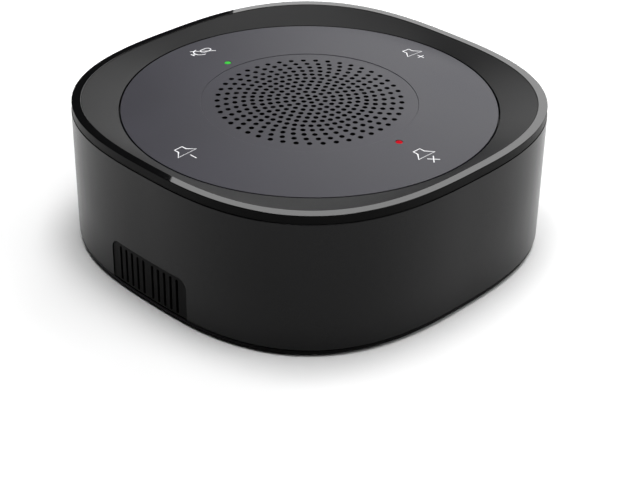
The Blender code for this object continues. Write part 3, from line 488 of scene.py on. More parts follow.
def moulded(name, tones, roughness, grain_mm, depth_mm, strength, drift_mm=35, **constants):
    """A moulded surface: the grain of its tool, and a broad drift of colour and gloss where it set
    unevenly. Real grain is finer, and is drawn as coarse as it needs to show."""
    material, tree, where = started(name, **constants)
    drift = add_node(
        tree, "ShaderNodeTexNoise", {"Vector": where, "Scale": per_metre(drift_mm), "Detail": 3.0}
    ).outputs["Fac"]
    grain = add_node(
        tree, "ShaderNodeTexNoise",
        {"Vector": where, "Scale": per_metre(grain_mm), "Detail": 2.0, "Roughness": 0.6},
    ).outputs["Fac"]
    mixed = add_node(tree, "ShaderNodeMath", {0: drift, 1: grain}, operation="MULTIPLY").outputs[0]
    # Both patterns average a half, so their product is doubled
    gloss = add_node(tree, "ShaderNodeMath", {0: mixed, 1: 2.0}, operation="MULTIPLY").outputs[0]
    dressed(tree, drift, tones, gloss, roughness, grain, strength, depth_mm)
    return material


def gloss_black():
    """Injection moulded polycarbonate, polished in the tool: near mirror, with a faint ripple."""
    material, tree, where = started("gloss_black_polycarbonate", IOR=1.58)
    ripple = add_node(
        tree, "ShaderNodeTexNoise", {"Vector": where, "Scale": per_metre(14), "Detail": 1.0}
    ).outputs["Fac"]
    haze = add_node(
        tree, "ShaderNodeTexNoise", {"Vector": where, "Scale": per_metre(2.5), "Detail": 4.0}
    ).outputs["Fac"]
    dressed(
        tree, tint=haze, tones=(srgb("060607"), srgb("0a0a0b")), gloss=haze, roughness=(0.01, 0.035),
        relief=ripple, strength=0.02, depth_mm=0.1,
    )
    return material


def satin_black():
    """ABS wall, moulded against a finely spark-eroded tool: a soft sheen that follows the light."""
    colours = bpy.context.scene.speakerphone_colours
    return moulded(
        "satin_black_abs", (colours.wall_dark, colours.wall_light), roughness=(0.2, 0.3),
        grain_mm=0.22, depth_mm=0.01, strength=0.3, IOR=1.25,
    )


def dish_black():
    """ABS dish, moulded against a slightly coarser tool than the wall: duller, with no clear edge to a
    reflection."""
    colours = bpy.context.scene.speakerphone_colours
    return moulded(
        "dish_black_abs", (colours.dish_dark, colours.dish_light), roughness=(0.4, 0.52),
        grain_mm=0.26, depth_mm=0.012, strength=0.4, IOR=1.33,
    )


def band_black():
    """Polycarbonate left satin by its tool, on the ring's upright band and the base: nearly no shine."""
    return moulded(
        "satin_black_polycarbonate", (srgb("050505"), srgb("080808")), roughness=(0.3, 0.4),
        grain_mm=0.3, depth_mm=0.008, strength=0.2, IOR=1.12,
    )


def panel_grey():
    """ABS panel with a sprayed soft satin coat: an even grey with a slight tooth."""
    colours = bpy.context.scene.speakerphone_colours
    return moulded(
        "panel_grey_painted_abs", (colours.panel_dark, colours.panel_light), roughness=(0.4, 0.52),
        grain_mm=0.3, depth_mm=0.018, strength=0.7, IOR=1.4,
    )


def vent_black():
    """Black ABS, plain moulded, in the vent and on the grille's hole walls: darker and duller than the
    wall. On the hole walls, where the panel's spray is taken not to reach, it is also painted shade that
    stands for the dark down the deep holes.
    """
    return moulded(
        "vent_black_abs", (srgb("040404"), srgb("060606")), roughness=(0.45, 0.6),
        grain_mm=0.25, depth_mm=0.012, strength=0.3, IOR=1.15,
    )


def rubber():
    """Compression moulded silicone rubber: a dusty, matt skin."""
    return moulded(
        "black_silicone_rubber", (srgb("121213"), srgb("1b1b1c")), roughness=(0.75, 0.95),
        grain_mm=0.18, depth_mm=0.02, strength=0.5,
    )


def chip_resin():
    """Transfer moulded epoxy, as chip bodies are: a fine dull black."""
    return moulded(
        "black_epoxy_chip_resin", (srgb("0e0e0f"), srgb("161617")), roughness=(0.5, 0.7),
        grain_mm=0.08, depth_mm=0.01, strength=0.5,
    )


def ferrite():
    """Pressed and sintered ferrite, ground flat: dark grey and stony."""
    return moulded(
        "sintered_ferrite", (srgb("222224"), srgb("303033")), roughness=(0.55, 0.8),
        grain_mm=0.12, depth_mm=0.02, strength=0.6,
    )


def black_paper():
    """Felted paper pulp, dyed black and pressed into a cone: matt, with a fibrous tooth."""
    return moulded(
        "pressed_paper_pulp", (srgb("0b0b0c"), srgb("1a1a1b")), roughness=(0.75, 0.95),
        grain_mm=0.35, depth_mm=0.04, strength=0.8,
    )


def white_plastic():
    """Glass filled nylon, moulded white: a clean off-white with a soft sheen."""
    return moulded(
        "white_nylon", (srgb("d4d4d0"), srgb("e2e2de")), roughness=(0.4, 0.55),
        grain_mm=0.2, depth_mm=0.01, strength=0.3,
    )


def white_ink():
    """Pad printed ink: flat white, faintly uneven where the pad left it."""
    return moulded(
        "white_pad_printed_ink", (srgb("eeeef0"), srgb("f8f8fa")), roughness=(0.5, 0.65),
        grain_mm=0.15, depth_mm=0.004, strength=0.3,
    )


def woven(name, tones, spacing_mm, roughness):
    """Plain woven cloth: two crossing sets of threads lift each other in turn. Real threads are several
    times finer, and are drawn as coarse as they need to show."""
    material, tree, where = started(name)
    warp, weft = (
        add_node(
            tree, "ShaderNodeTexWave",
            {"Vector": where, "Scale": wave_scale(spacing_mm), "Distortion": 0.4},
            bands_direction=axis, wave_profile="SIN",
        ).outputs["Fac"]
        for axis in ("X", "Y")
    )
    weave = add_node(tree, "ShaderNodeMath", {0: warp, 1: weft}, operation="MULTIPLY").outputs[0]
    dressed(tree, weave, tones, weave, roughness, weave, strength=0.6, depth_mm=0.08, span=(0.1, 0.9))
    return material


def black_cloth():
    """Acoustic cloth, woven from fine black polyester: a matt black that swallows the light."""
    return woven(
        "black_polyester_acoustic_cloth", (srgb("020202"), srgb("0b0b0c")), spacing_mm=1.571,
        roughness=(0.85, 1.0),
    )


def resin_cloth():
    """Cotton dipped in resin and pressed, as loudspeaker spiders are: amber, with its weave showing."""
    return woven(
        "resin_dipped_cotton", (srgb("7a5a24"), srgb("a8803c")), spacing_mm=2.513, roughness=(0.6, 0.85)
    )


def circuit_board():
    """Glass epoxy board under green solder mask, with tracks that show through as paler lines."""
    material, tree, where = started("green_solder_mask", IOR=1.5)
    cells = add_node(
        tree, "ShaderNodeTexVoronoi", {"Vector": where, "Scale": per_metre(3.0)},
        feature="DISTANCE_TO_EDGE", distance="EUCLIDEAN",
    ).outputs["Distance"]
    tracks = add_node(tree, "ShaderNodeMath", {0: cells, 1: 0.08}, operation="LESS_THAN").outputs[0]
    dressed(
        tree, tint=tracks, tones=(srgb("0c3a20"), srgb("1c5a34")), gloss=tracks, roughness=(0.4, 0.28),
        relief=tracks, strength=0.3, depth_mm=0.03, span=(0.0, 1.0),
    )
    return material


def drawn_metal(name, tones, roughness, grain_mm):
    """Pressed or drawn metal: a fine grain that breaks up its reflections."""
    material, tree, where = started(name, Metallic=1.0)
    grain = add_node(
        tree, "ShaderNodeTexNoise", {"Vector": where, "Scale": per_metre(grain_mm), "Detail": 3.0}
    ).outputs["Fac"]
    dressed(tree, grain, tones, grain, roughness, grain, strength=0.2, depth_mm=0.01)
    return material


def plated_steel():
    """Pressed steel with nickel plating: bright and slightly warm."""
    return drawn_metal(
        "nickel_plated_steel", (srgb("b4b2ac"), srgb("c8c6c0")), roughness=(0.2, 0.36), grain_mm=0.5
    )


def aluminium_can():
    """Deep drawn aluminium: pale and softly bright."""
    return drawn_metal(
        "drawn_aluminium", (srgb("c4c6c8"), srgb("dadbdc")), roughness=(0.28, 0.42), grain_mm=0.7
    )


def copper_wire():
    """Enamelled copper wire, wound in layers: brown bands, painted lighter on each turn's crest and darker
    in the grooves between turns, a painted highlight and painted shade. Real wire is several times finer,
    and is drawn as coarse as it needs to show."""
    material, tree, where = started("enamelled_copper", Metallic=1.0)
    turns = add_node(
        tree, "ShaderNodeTexWave", {"Vector": where, "Scale": wave_scale(1.257), "Distortion": 0.2},
        bands_direction="Z", wave_profile="SIN",
    ).outputs["Fac"]
    # The waves that lift the wire also tint it: painted highlight on each crest, painted shade in the
    # grooves
    dressed(
        tree, tint=turns, tones=(srgb("7a3c18"), srgb("b8662c")), gloss=turns, roughness=(0.45, 0.25),
        relief=turns, strength=0.7, depth_mm=0.05, span=(0.0, 1.0),
    )
    return material


def lit_acrylic(name, shade, tones):
    """Clear acrylic light pipe, lit from behind: an even glow, mottled a little by its frosted end."""
    material, tree, where = started(
        name, Base_Color=srgb(shade), Roughness=0.5, IOR=1.05, Emission_Strength=1.0
    )
    frost = add_node(
        tree, "ShaderNodeTexNoise", {"Vector": where, "Scale": per_metre(0.4), "Detail": 2.0}
    ).outputs["Fac"]
    light = add_node(
        tree, "ShaderNodeValToRGB", {"Fac": frost}, stops=zip((0.3, 0.7), map(srgb, tones))
    )
    tree.links.new(light.outputs["Color"], tree.nodes[SHADER].inputs["Emission Color"])
    return material


def green_light():
    """Acrylic light pipe over a green lamp."""
    return lit_acrylic("green_lit_acrylic", shade="041806", tones=("34bc38", "50dc54"))


def red_light():
    """Acrylic light pipe over a red lamp."""
    return lit_acrylic("red_lit_acrylic", shade="200204", tones=("b80a1c", "dc0e24"))


FINISHES = {
    make.__name__: make
    for make in (
        gloss_black, satin_black, dish_black, panel_grey, vent_black, black_cloth, rubber, circuit_board,
        chip_resin, plated_steel, ferrite, aluminium_can, copper_wire, black_paper, resin_cloth,
        white_plastic, white_ink, band_black, green_light, red_light,
    )
}


@functools.cache
def finish(slot):
    """The finish of a material slot, made once."""
    return FINISHES[slot]()


# Pieces


class SPEAKERPHONE_OT_inner(bpy.types.Operator):
    """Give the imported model's inner pieces the finishes of their slots"""

    bl_idname = "speakerphone.inner"
    bl_label = "Inner Finishes"

    def execute(self, context):
        for part in frame["record"]["subparts"]:
            for place in frame["nodes"][part["node"]].material_slots:
                place.material = finish(part["material_slot"])
        return {"FINISHED"}


class SPEAKERPHONE_OT_wall(bpy.types.Operator):
    """Make the upright wall, open at the vent and at the data inlet"""

    bl_idname = "speakerphone.wall"
    bl_label = "Wall"

    def cutter(self, outline, near, far):
        """A block with an outline of (x, z) points, from one y to another."""
        mesh = bmesh.new()
        mesh.faces.new([mesh.verts.new((x, z, 0)) for x, z in outline])
        thickened(mesh, lambda x, z, y: (x, y, z), near, far)
        return mesh

    def execute(self, context):
        sizes = context.scene.speakerphone_housing
        ring_seat, inlet_gap = 0.1 * MM, 0.5 * MM
        low, high = box("wall_sleeve")
        ring_low, ring_high = box("trim_ring")
        outer, inner = high[0], ring_high[0] - sizes.ring_width
        bottom, top = low[2], ring_low[2] - ring_seat
        mesh = rows_swept([(outer, 0, bottom), (outer, 0, top), (inner, 0, top), (inner, 0, bottom)])

        # How far the cutters reach outside and inside the wall
        past, depth = 5 * MM, 8 * MM
        outline = vent_outline(sizes.vent_half, bottom - past, sizes.vent_top, sizes.vent_corner)
        mesh = cut_from(mesh, self.cutter(outline, -outer - past, depth - outer))
        low, high = box("inlet_shell")
        width, height = (high[axis] - low[axis] + 2 * inlet_gap for axis in (0, 2))
        middle = (low[2] + high[2]) / 2
        outline = [(x, z + middle) for x, z in stadium(width, height)]
        mesh = cut_from(mesh, self.cutter(outline, outer - depth, outer + past))
        piece("wall", mesh, "satin_black", ["wall_sleeve"], edge=0.2 * MM)
        return {"FINISHED"}


class SPEAKERPHONE_OT_base(bpy.types.Operator):
    """Make the base plate, whose rim shows under the wall, and the four rubber feet"""

    bl_idname = "speakerphone.base"
    bl_label = "Base and Feet"

    foot_sides = 48

    def foot(self, name):
        """A turned foot with a hollow middle and a groove round its tread."""
        centre, radius = plan(f"foot_{name}")
        top = box(f"foot_{name}")[1][2]
        hollow, ridge = 0.25 * MM, 0.3 * MM
        tread = [(0, hollow), (0.45, hollow), (0.55, 0), (0.7, 0), (0.76, hollow), (0.82, 0)]
        profile = [(share * radius, height) for share, height in tread]
        profile += [(radius - ridge, 0), (radius, ridge), (radius, top), (0, top)]
        mesh = spun(profile, self.foot_sides, centre)
        piece(f"rubber_foot_{name}", mesh, "rubber", [f"foot_{name}"], edge=0.1 * MM, segments=2)

    def execute(self, context):
        sizes = context.scene.speakerphone_housing
        chamfer, plate_thick, lip_width, lip_height = 0.4 * MM, 2.4 * MM, 1.8 * MM, 1.4 * MM
        low, high = box("base_plate")
        half, bottom = high[0], low[2]
        rim_top, plate_top = bottom + sizes.base_rim, bottom + plate_thick
        lip_out = box("trim_ring")[1][0] - sizes.ring_width - sizes.clear
        lip_in, lip_top = lip_out - lip_width, plate_top + lip_height
        mesh = rows_swept([
            (half - chamfer, 0, bottom), (half, 0, bottom + chamfer), (half, 0, rim_top),
            (lip_out, 0, rim_top), (lip_out, 0, lip_top), (lip_in, 0, lip_top), (lip_in, 0, plate_top),
        ], solid=True)

        past = 2 * MM
        recess = bmesh.new()
        for name in CORNERS:
            centre, radius = plan(f"foot_{name}")
            ceiling = box(f"foot_{name}")[1][2] + sizes.clear
            pillar(recess, centre, radius + sizes.clear, bottom - past, ceiling, self.foot_sides)
        mesh = cut_from(mesh, recess)

        boss_radius, stand_radius, rooted = 4.2 * MM, 3.2 * MM, plate_top - 0.2 * MM
        board = box("main_board")[0][2] - sizes.clear
        for name in CORNERS:
            pillar(mesh, plan(f"foot_{name}")[0], boss_radius, rooted, high[2])
            pillar(mesh, plan(f"board_screw_{name}")[0], stand_radius, rooted, board)
        piece(
            "base_tray", mesh, "gloss_black", ["base_plate"], edge=0.15 * MM, segments=2,
            looks=["band_black"],
        )
        for name in CORNERS:
            self.foot(name)
        return {"FINISHED"}


class SPEAKERPHONE_OT_ring(bpy.types.Operator):
    """Make the flat gloss ring round the top, with its satin upright band"""

    bl_idname = "speakerphone.ring"
    bl_label = "Gloss Ring"

    def execute(self, context):
        low, high = box("trim_ring")
        outer, inner = high[0], high[0] - context.scene.speakerphone_housing.ring_width
        mesh = rows_swept([
            (outer, 0, low[2]), (outer, 0, high[2]), (inner, 0, high[2]), (inner, 0, low[2]),
        ])
        sides_marked(mesh)
        piece(
            "gloss_ring", mesh, "gloss_black", ["trim_ring"], edge=0.18 * MM, segments=4,
            looks=["gloss_black", "band_black"],
        )
        return {"FINISHED"}


class SPEAKERPHONE_OT_dish(bpy.types.Operator):
    """Make the sloping dish with its ledge, its deck and its posts"""

    bl_idname = "speakerphone.dish"
    bl_label = "Dish"

    def execute(self, context):
        sizes = context.scene.speakerphone_housing
        ring_gap, panel_gap, ledge_width = 0.03 * MM, 0.5 * MM, 3.7 * MM
        deck_drop, deck_thick, driver_seat = 5.65 * MM, 2.0 * MM, 2.6 * MM
        skirt_wall, skirt_depth, post_radius = 2.0 * MM, 4.0 * MM, 3.6 * MM
        ring_high = box("trim_ring")[1]
        panel_low, panel_high = box("touch_panel")
        outer, top = ring_high[0] - sizes.ring_width - ring_gap, ring_high[2] - sizes.dish_drop
        inner, rim = panel_high[0] + panel_gap, ring_high[2] - context.scene.speakerphone_panel.drop
        ledge = panel_low[2] - sizes.clear
        ledge_in, deck = inner - ledge_width, ledge - deck_drop
        opening = box("driver_gasket")[1][0] - driver_seat
        skirt_in, ceiling = outer - skirt_wall, deck - deck_thick
        skirt_bottom = ceiling - skirt_depth
        rows = [(outer, 0, skirt_bottom)]
        for band in range(sizes.dish_bands + 1):
            share = band / sizes.dish_bands
            rows.append((outer * (1 - share), inner * share, top + (rim - top) * share))
        rows += [
            (0, inner, ledge), (0, ledge_in, ledge), (0, ledge_in, deck), (0, opening, deck),
            (0, opening, ceiling), (skirt_in, 0, ceiling), (skirt_in, 0, skirt_bottom),
        ]
        mesh = rows_swept(rows)
        post_bottom, post_top = box("dish_bezel")[0][2], deck - deck_thick / 2
        for name in CORNERS:
            pillar(mesh, plan(f"foot_{name}")[0], post_radius, post_bottom, post_top)
        piece("dish", mesh, "dish_black", ["dish_bezel"], edge=0.08 * MM, segments=2)
        return {"FINISHED"}


class SPEAKERPHONE_OT_panel(bpy.types.Operator):
    """Make the domed touch panel with its seat for the grille and its two lamp holes"""

    bl_idname = "speakerphone.panel"
    bl_label = "Touch Panel"

    def execute(self, context):
        panel = context.scene.speakerphone_panel
        seat_depth, lamp_gap, past = 1.5 * MM, 0.1 * MM, 5 * MM
        low, high = box("touch_panel")
        outer, seam, rabbet = high[0], panel.seam, panel.seam - panel.rabbet
        seat = dome(seam) - seat_depth
        rows = [(0, outer, low[2])]
        for band in range(panel.bands + 1):
            radius = outer + (seam - outer) * band / panel.bands
            rows.append((0, radius, dome(radius)))
        rows += [(0, seam, seat), (0, rabbet, seat), (0, rabbet, low[2])]
        holes = bmesh.new()
        for lamp in LAMPS:
            centre, radius = plan(f"{lamp}_light_pipe")
            pillar(holes, centre, radius + lamp_gap, low[2] - past, high[2] + past)
        mesh = cut_from(rows_swept(rows), holes)
        piece("domed_panel", mesh, "panel_grey", ["touch_panel"], edge=0.1 * MM)
        return {"FINISHED"}


class SPEAKERPHONE_OT_grille(bpy.types.Operator):
    """Make the perforated loudspeaker grille"""

    bl_idname = "speakerphone.grille"
    bl_label = "Grille"

    def ring(self, radius, start, count):
        """Points spread evenly on a circle round the axis, the first at an angle."""
        turns = [start + math.tau * step / count for step in range(count)]
        return [(radius * math.cos(t), radius * math.sin(t)) for t in turns]

    def hole_centres(self, panel):
        """One hole in the middle, inner rings that gain holes, and outer rings that lean into a swirl."""
        gain = 6
        centres = [(0.0, 0.0)]
        for number in range(1, panel.inner_rings + 1):
            start = math.pi / gain if number == 1 else 0.0
            centres += self.ring(number * panel.inner_pitch, start, gain * number)
        # Degrees: the first outer ring's turn, what each ring adds to it, and how fast that grows
        lean, step, growth = 4.53, 0.91, 0.19
        for number in range(panel.outer_rings):
            start = math.radians(lean + step * number + growth * number ** 2)
            radius = panel.inner_rings * panel.inner_pitch + (number + 1) * panel.outer_pitch
            centres += self.ring(radius, start, panel.outer_holes)
        return centres

    def execute(self, context):
        panel = context.scene.speakerphone_panel
        seam_gap, underside, sides = 0.03 * MM, 1.3 * MM, 128
        mesh = bmesh.new()
        bmesh.ops.create_circle(mesh, segments=sides, radius=panel.seam - seam_gap)
        for centre in self.hole_centres(panel):
            place = Matrix.Translation((*centre, 0))
            bmesh.ops.create_circle(mesh, segments=panel.hole_sides, radius=panel.hole, matrix=place)
        bmesh.ops.triangle_fill(mesh, use_beauty=True, edges=mesh.edges[:])
        thickened(mesh, lambda x, y, depth: (x, y, dome(math.hypot(x, y)) - depth), panel.sink, underside)
        # The upright faces, the hole walls and the rim, take the vent's black: unsprayed black ABS, and
        # painted shade for the dark down the deep holes
        sides_marked(mesh)
        piece(
            "round_hole_grille", mesh, "panel_grey", ["speaker_grille"], looks=["panel_grey", "vent_black"]
        )
        return {"FINISHED"}


class SPEAKERPHONE_OT_vent(bpy.types.Operator):
    """Make the slotted insert in the vent"""

    bl_idname = "speakerphone.vent"
    bl_label = "Vent"

    def execute(self, context):
        sizes = context.scene.speakerphone_housing
        gap, thick, lower_margin, upper_margin = 0.06 * MM, 1.6 * MM, 0.5 * MM, 0.9 * MM
        first_slot, arc = 1.95 * MM, 6
        low, high = box("vent_grille")
        front = box("wall_sleeve")[1][0] - sizes.vent_sink
        mesh = bmesh.new()
        edges = loop_added(
            mesh, vent_outline(sizes.vent_half - gap, low[2], sizes.vent_top - gap, sizes.vent_corner - gap)
        )
        slot_low, slot_high = low[2] + lower_margin, high[2] - upper_margin
        centre = (slot_low + slot_high) / 2
        outline = stadium(slot_high - slot_low, sizes.slot_width, arc)
        for side in (-1, 1):
            for number in range(sizes.slots):
                middle = side * (first_slot + sizes.slot_pitch * number)
                edges += loop_added(mesh, [(middle - v, centre + u) for u, v in outline])
        bmesh.ops.triangle_fill(mesh, use_beauty=True, edges=edges)
        thickened(mesh, lambda x, z, half: (x, front_wall(half, x), z), front, front - thick)
        piece("slotted_vent", mesh, "vent_black", ["vent_grille"], edge=0.12 * MM, segments=2)
        return {"FINISHED"}


class SPEAKERPHONE_OT_lamps(bpy.types.Operator):
    """Make the green and the red light pipe"""

    bl_idname = "speakerphone.lamps"
    bl_label = "Light Pipes"

    def execute(self, context):
        crown, arc, steps = 0.12 * MM, 6, 32
        turns = [math.pi / 2 * step / arc for step in range(arc)]
        for lamp in LAMPS:
            low, high = box(f"{lamp}_light_pipe")
            centre, radius = plan(f"{lamp}_light_pipe")
            profile = [(0, low[2]), (radius, low[2])]
            profile += [(radius * math.cos(t), high[2] - crown + crown * math.sin(t)) for t in turns]
            profile.append((0, high[2]))
            piece(f"{lamp}_pipe", spun(profile, steps, centre), f"{lamp}_light", [f"{lamp}_light_pipe"])
        return {"FINISHED"}


class SPEAKERPHONE_OT_signs(bpy.types.Operator):
    """Print the four touch signs on the panel"""

    bl_idname = "speakerphone.signs"
    bl_label = "Touch Signs"

    # A loudspeaker's outline in millimetres
    speaker = [(-4.36, 1.4), (-2.65, 1.4), (-0.43, 3.4), (-0.43, -3.4), (-2.65, -1.4), (-4.36, -1.4)]
    # Middle and half length of the mark beside it
    mark, arm = 2.15, 1.3
    # Widths of the strokes, as shares of the line width
    microphone_weight, speaker_weight, mark_weight = 0.72, 0.82, 0.65

    def arc(self, centre, radius, first, last, steps=16):
        """Points of an arc, in degrees."""
        turns = [math.radians(first + (last - first) * step / steps) for step in range(steps + 1)]
        return [(centre[0] + radius * math.cos(t), centre[1] + radius * math.sin(t)) for t in turns]

    def microphone(self):
        """Strokes of a struck-through microphone in its cradle, in millimetres."""
        axis, foot, foot_half = -0.7, -3.1, 0.9
        capsule_top, capsule_bottom, capsule_radius = 3.1, 1.6, 1.1
        cradle, cradle_radius = 0.3, 2.3
        capsule = self.arc((axis, capsule_top), capsule_radius, 0, 180)
        capsule += self.arc((axis, capsule_bottom), capsule_radius, 180, 360)
        lines = [
            self.arc((axis, cradle), cradle_radius, 180, 360),
            [(axis, cradle - cradle_radius), (axis, foot)],
            [(axis - foot_half, foot), (axis + foot_half, foot)],
            [(1.9, 4.4), (-3.4, -1.9)],
        ]
        strokes = [(capsule, True, self.microphone_weight)]
        return strokes + [(line, False, self.microphone_weight) for line in lines]

    def printed(self, context, name, at, strokes):
        """A sign at a place on the dome, from strokes of (points, closed, weight) in millimetres."""
        panel = context.scene.speakerphone_panel
        curve = bpy.data.curves.new(name, "CURVE")
        curve.dimensions = "3D"
        curve.bevel_depth = panel.line / 2
        curve.bevel_resolution = 2
        curve.use_fill_caps = True
        for points, closed, weight in strokes:
            spline = curve.splines.new("POLY")
            spline.points.add(len(points) - 1)
            for corner, (x, y) in zip(spline.points, points):
                corner.co = ((at[0] + x) * MM, (at[1] + y) * MM, 0, 1)
                corner.radius = weight
            spline.use_cyclic_u = closed
        drawn = bpy.data.objects.new(name, curve)
        context.scene.collection.objects.link(drawn)
        solved = drawn.evaluated_get(context.evaluated_depsgraph_get())
        mesh = bmesh.new()
        mesh.from_mesh(solved.to_mesh())
        solved.to_mesh_clear()
        bpy.data.objects.remove(drawn)
        bpy.data.curves.remove(curve)
        bmesh.ops.remove_doubles(mesh, verts=mesh.verts, dist=WELD)
        for corner in mesh.verts:
            height = corner.co.z * panel.ink / (panel.line / 2)
            corner.co.z = dome(math.hypot(corner.co.x, corner.co.y)) + height
        piece(name, mesh, "white_plastic", looks=["white_ink"])

    def execute(self, context):
        left, right = self.mark - self.arm, self.mark + self.arm
        level = [(left, 0), (right, 0)]
        upright = [(self.mark, -self.arm), (self.mark, self.arm)]
        rising = [(left, -self.arm), (right, self.arm)]
        falling = [(left, self.arm), (right, -self.arm)]
        # Each sign's place on the panel in millimetres, and the lines of its mark
        marked = {
            "speaker_mute_sign": ((47.45, 0.15), [rising, falling]),
            "volume_up_sign": ((-0.5, 48.4), [level, upright]),
            "volume_down_sign": ((-0.4, -47.95), [level]),
        }
        self.printed(context, "microphone_mute_sign", (-48.35, -0.55), self.microphone())
        for name, (at, lines) in marked.items():
            strokes = [(self.speaker, True, self.speaker_weight)]
            strokes += [(line, False, self.mark_weight) for line in lines]
            self.printed(context, name, at, strokes)
        return {"FINISHED"}


class SPEAKERPHONE_OT_suspension(bpy.types.Operator):
    """Make the loudspeaker's surround and spider, which flex as the cone travels"""

    bl_idname = "speakerphone.suspension"
    bl_label = "Suspension"

    thick = 0.4 * MM
    steps = 96

    def flexing(self, name, under, slot, node, held, carried):
        """Turn a sheet from the points of its underside. Held and carried, the radii at which it meets the
        housing and the cone, are not used. The mesh is laid out along X and then put back as it was."""
        profile = under + [(radius, height + self.thick) for radius, height in reversed(under)]
        mesh = spun(profile, self.steps, closed=True)
        item = piece(name, mesh, slot, [node], flexes=True)
        places = [corner.co.copy() for corner in item.data.vertices]
        for corner in item.data.vertices:
            corner.co = (corner.co.xy.length, 0, 0)
        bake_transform(item)
        for corner, place in zip(item.data.vertices, places):
            corner.co = place

    def surround(self):
        """A half roll between the cone's edge and the flange that the gasket clamps."""
        flange, lap, arc = 3.0 * MM, 1.6 * MM, 16
        low, high = box("cone_surround")
        cone, outer, bottom = box("speaker_cone")[1][0], high[0], low[2]
        held = outer - flange
        middle, reach, rise = (cone + held) / 2, (held - cone) / 2, high[2] - bottom - self.thick
        turns = [math.pi * step / arc for step in range(arc + 1)]
        roll = [(middle - reach * math.cos(t), bottom + rise * math.sin(t)) for t in turns]
        under = [(cone - lap, bottom)] + roll + [(outer, bottom)]
        self.flexing("roll_surround", under, "rubber", "cone_surround", held, cone)

    def spider(self):
        """A corrugated disc between the voice coil's neck and the lip that the basket holds."""
        lip, neck_gap, neck_lap, waves, rows = 1.8 * MM, 0.3 * MM, 1.5 * MM, 3, 48
        low, high = box("cone_spider")
        outer, bottom = high[0], low[2]
        neck, held, rise = box("voice_coil")[1][0] + neck_gap, outer - lip, high[2] - bottom - self.thick
        under = []
        for row in range(rows + 1):
            share = row / rows
            height = bottom + rise * (1 - math.cos(share * waves * math.tau)) / 2
            under.append((neck + (held - neck) * share, height))
        under.append((outer, bottom))
        self.flexing("wave_spider", under, "resin_cloth", "cone_spider", held, neck + neck_lap)

    def execute(self, context):
        self.surround()
        self.spider()
        return {"FINISHED"}


class SPEAKERPHONE_OT_inlet(bpy.types.Operator):
    """Make the data inlet's drawn shell, its tongue and its contacts"""

    bl_idname = "speakerphone.inlet"
    bl_label = "Data Inlet"

    def shell(self):
        """A slot-shaped can, open at the rear."""
        low, high = box("inlet_shell")
        middle, wall = (low[2] + high[2]) / 2, 0.3 * MM
        mesh = bmesh.new()
        outline = stadium(high[0] - low[0], high[2] - low[2])
        back = mesh.faces.new([mesh.verts.new((x, low[1], z + middle)) for x, z in outline])
        made = bmesh.ops.extrude_face_region(mesh, geom=[back])["geom"]
        rim = [part for part in made if isinstance(part, bmesh.types.BMVert)]
        mouth = [part for part in made if isinstance(part, bmesh.types.BMFace)]
        bmesh.ops.translate(mesh, verts=rim, vec=(0, high[1] - low[1], 0))
        bmesh.ops.inset_region(mesh, faces=mouth, thickness=wall, use_even_offset=True)
        made = bmesh.ops.extrude_face_region(mesh, geom=mouth)["geom"]
        floor = [part for part in made if isinstance(part, bmesh.types.BMVert)]
        bmesh.ops.delete(mesh, geom=mouth, context="FACES")
        bmesh.ops.translate(mesh, verts=floor, vec=(0, low[1] + wall - high[1], 0))
        piece("inlet_can", mesh, "plated_steel", ["inlet_shell"], edge=0.06 * MM, segments=2)

    def blade(self):
        """The flat tongue that carries the contacts."""
        low, high = (Vector(corner) for corner in box("inlet_tongue"))
        place = Matrix.Translation((low + high) / 2) @ Matrix.Diagonal((*(high - low), 1))
        mesh = bmesh.new()
        bmesh.ops.create_cube(mesh, size=1.0, matrix=place)
        piece("inlet_blade", mesh, "chip_resin", ["inlet_tongue"], edge=0.15 * MM, segments=2)

    def contacts(self):
        """Two rows of flat contacts, half sunk in the tongue's upper and lower face."""
        count, pitch, back = 12, 0.5 * MM, 2.4 * MM
        size = Matrix.Diagonal((0.25 * MM, 3.6 * MM, 0.06 * MM, 1))
        low, high = box("inlet_tongue")
        mesh = bmesh.new()
        for number in range(count):
            for height in (low[2], high[2]):
                place = Matrix.Translation(((number - (count - 1) / 2) * pitch, high[1] - back, height))
                bmesh.ops.create_cube(mesh, size=1.0, matrix=place @ size)
        piece("inlet_contacts", mesh, "plated_steel")

    def execute(self, context):
        self.shell()
        self.blade()
        self.contacts()
        return {"FINISHED"}


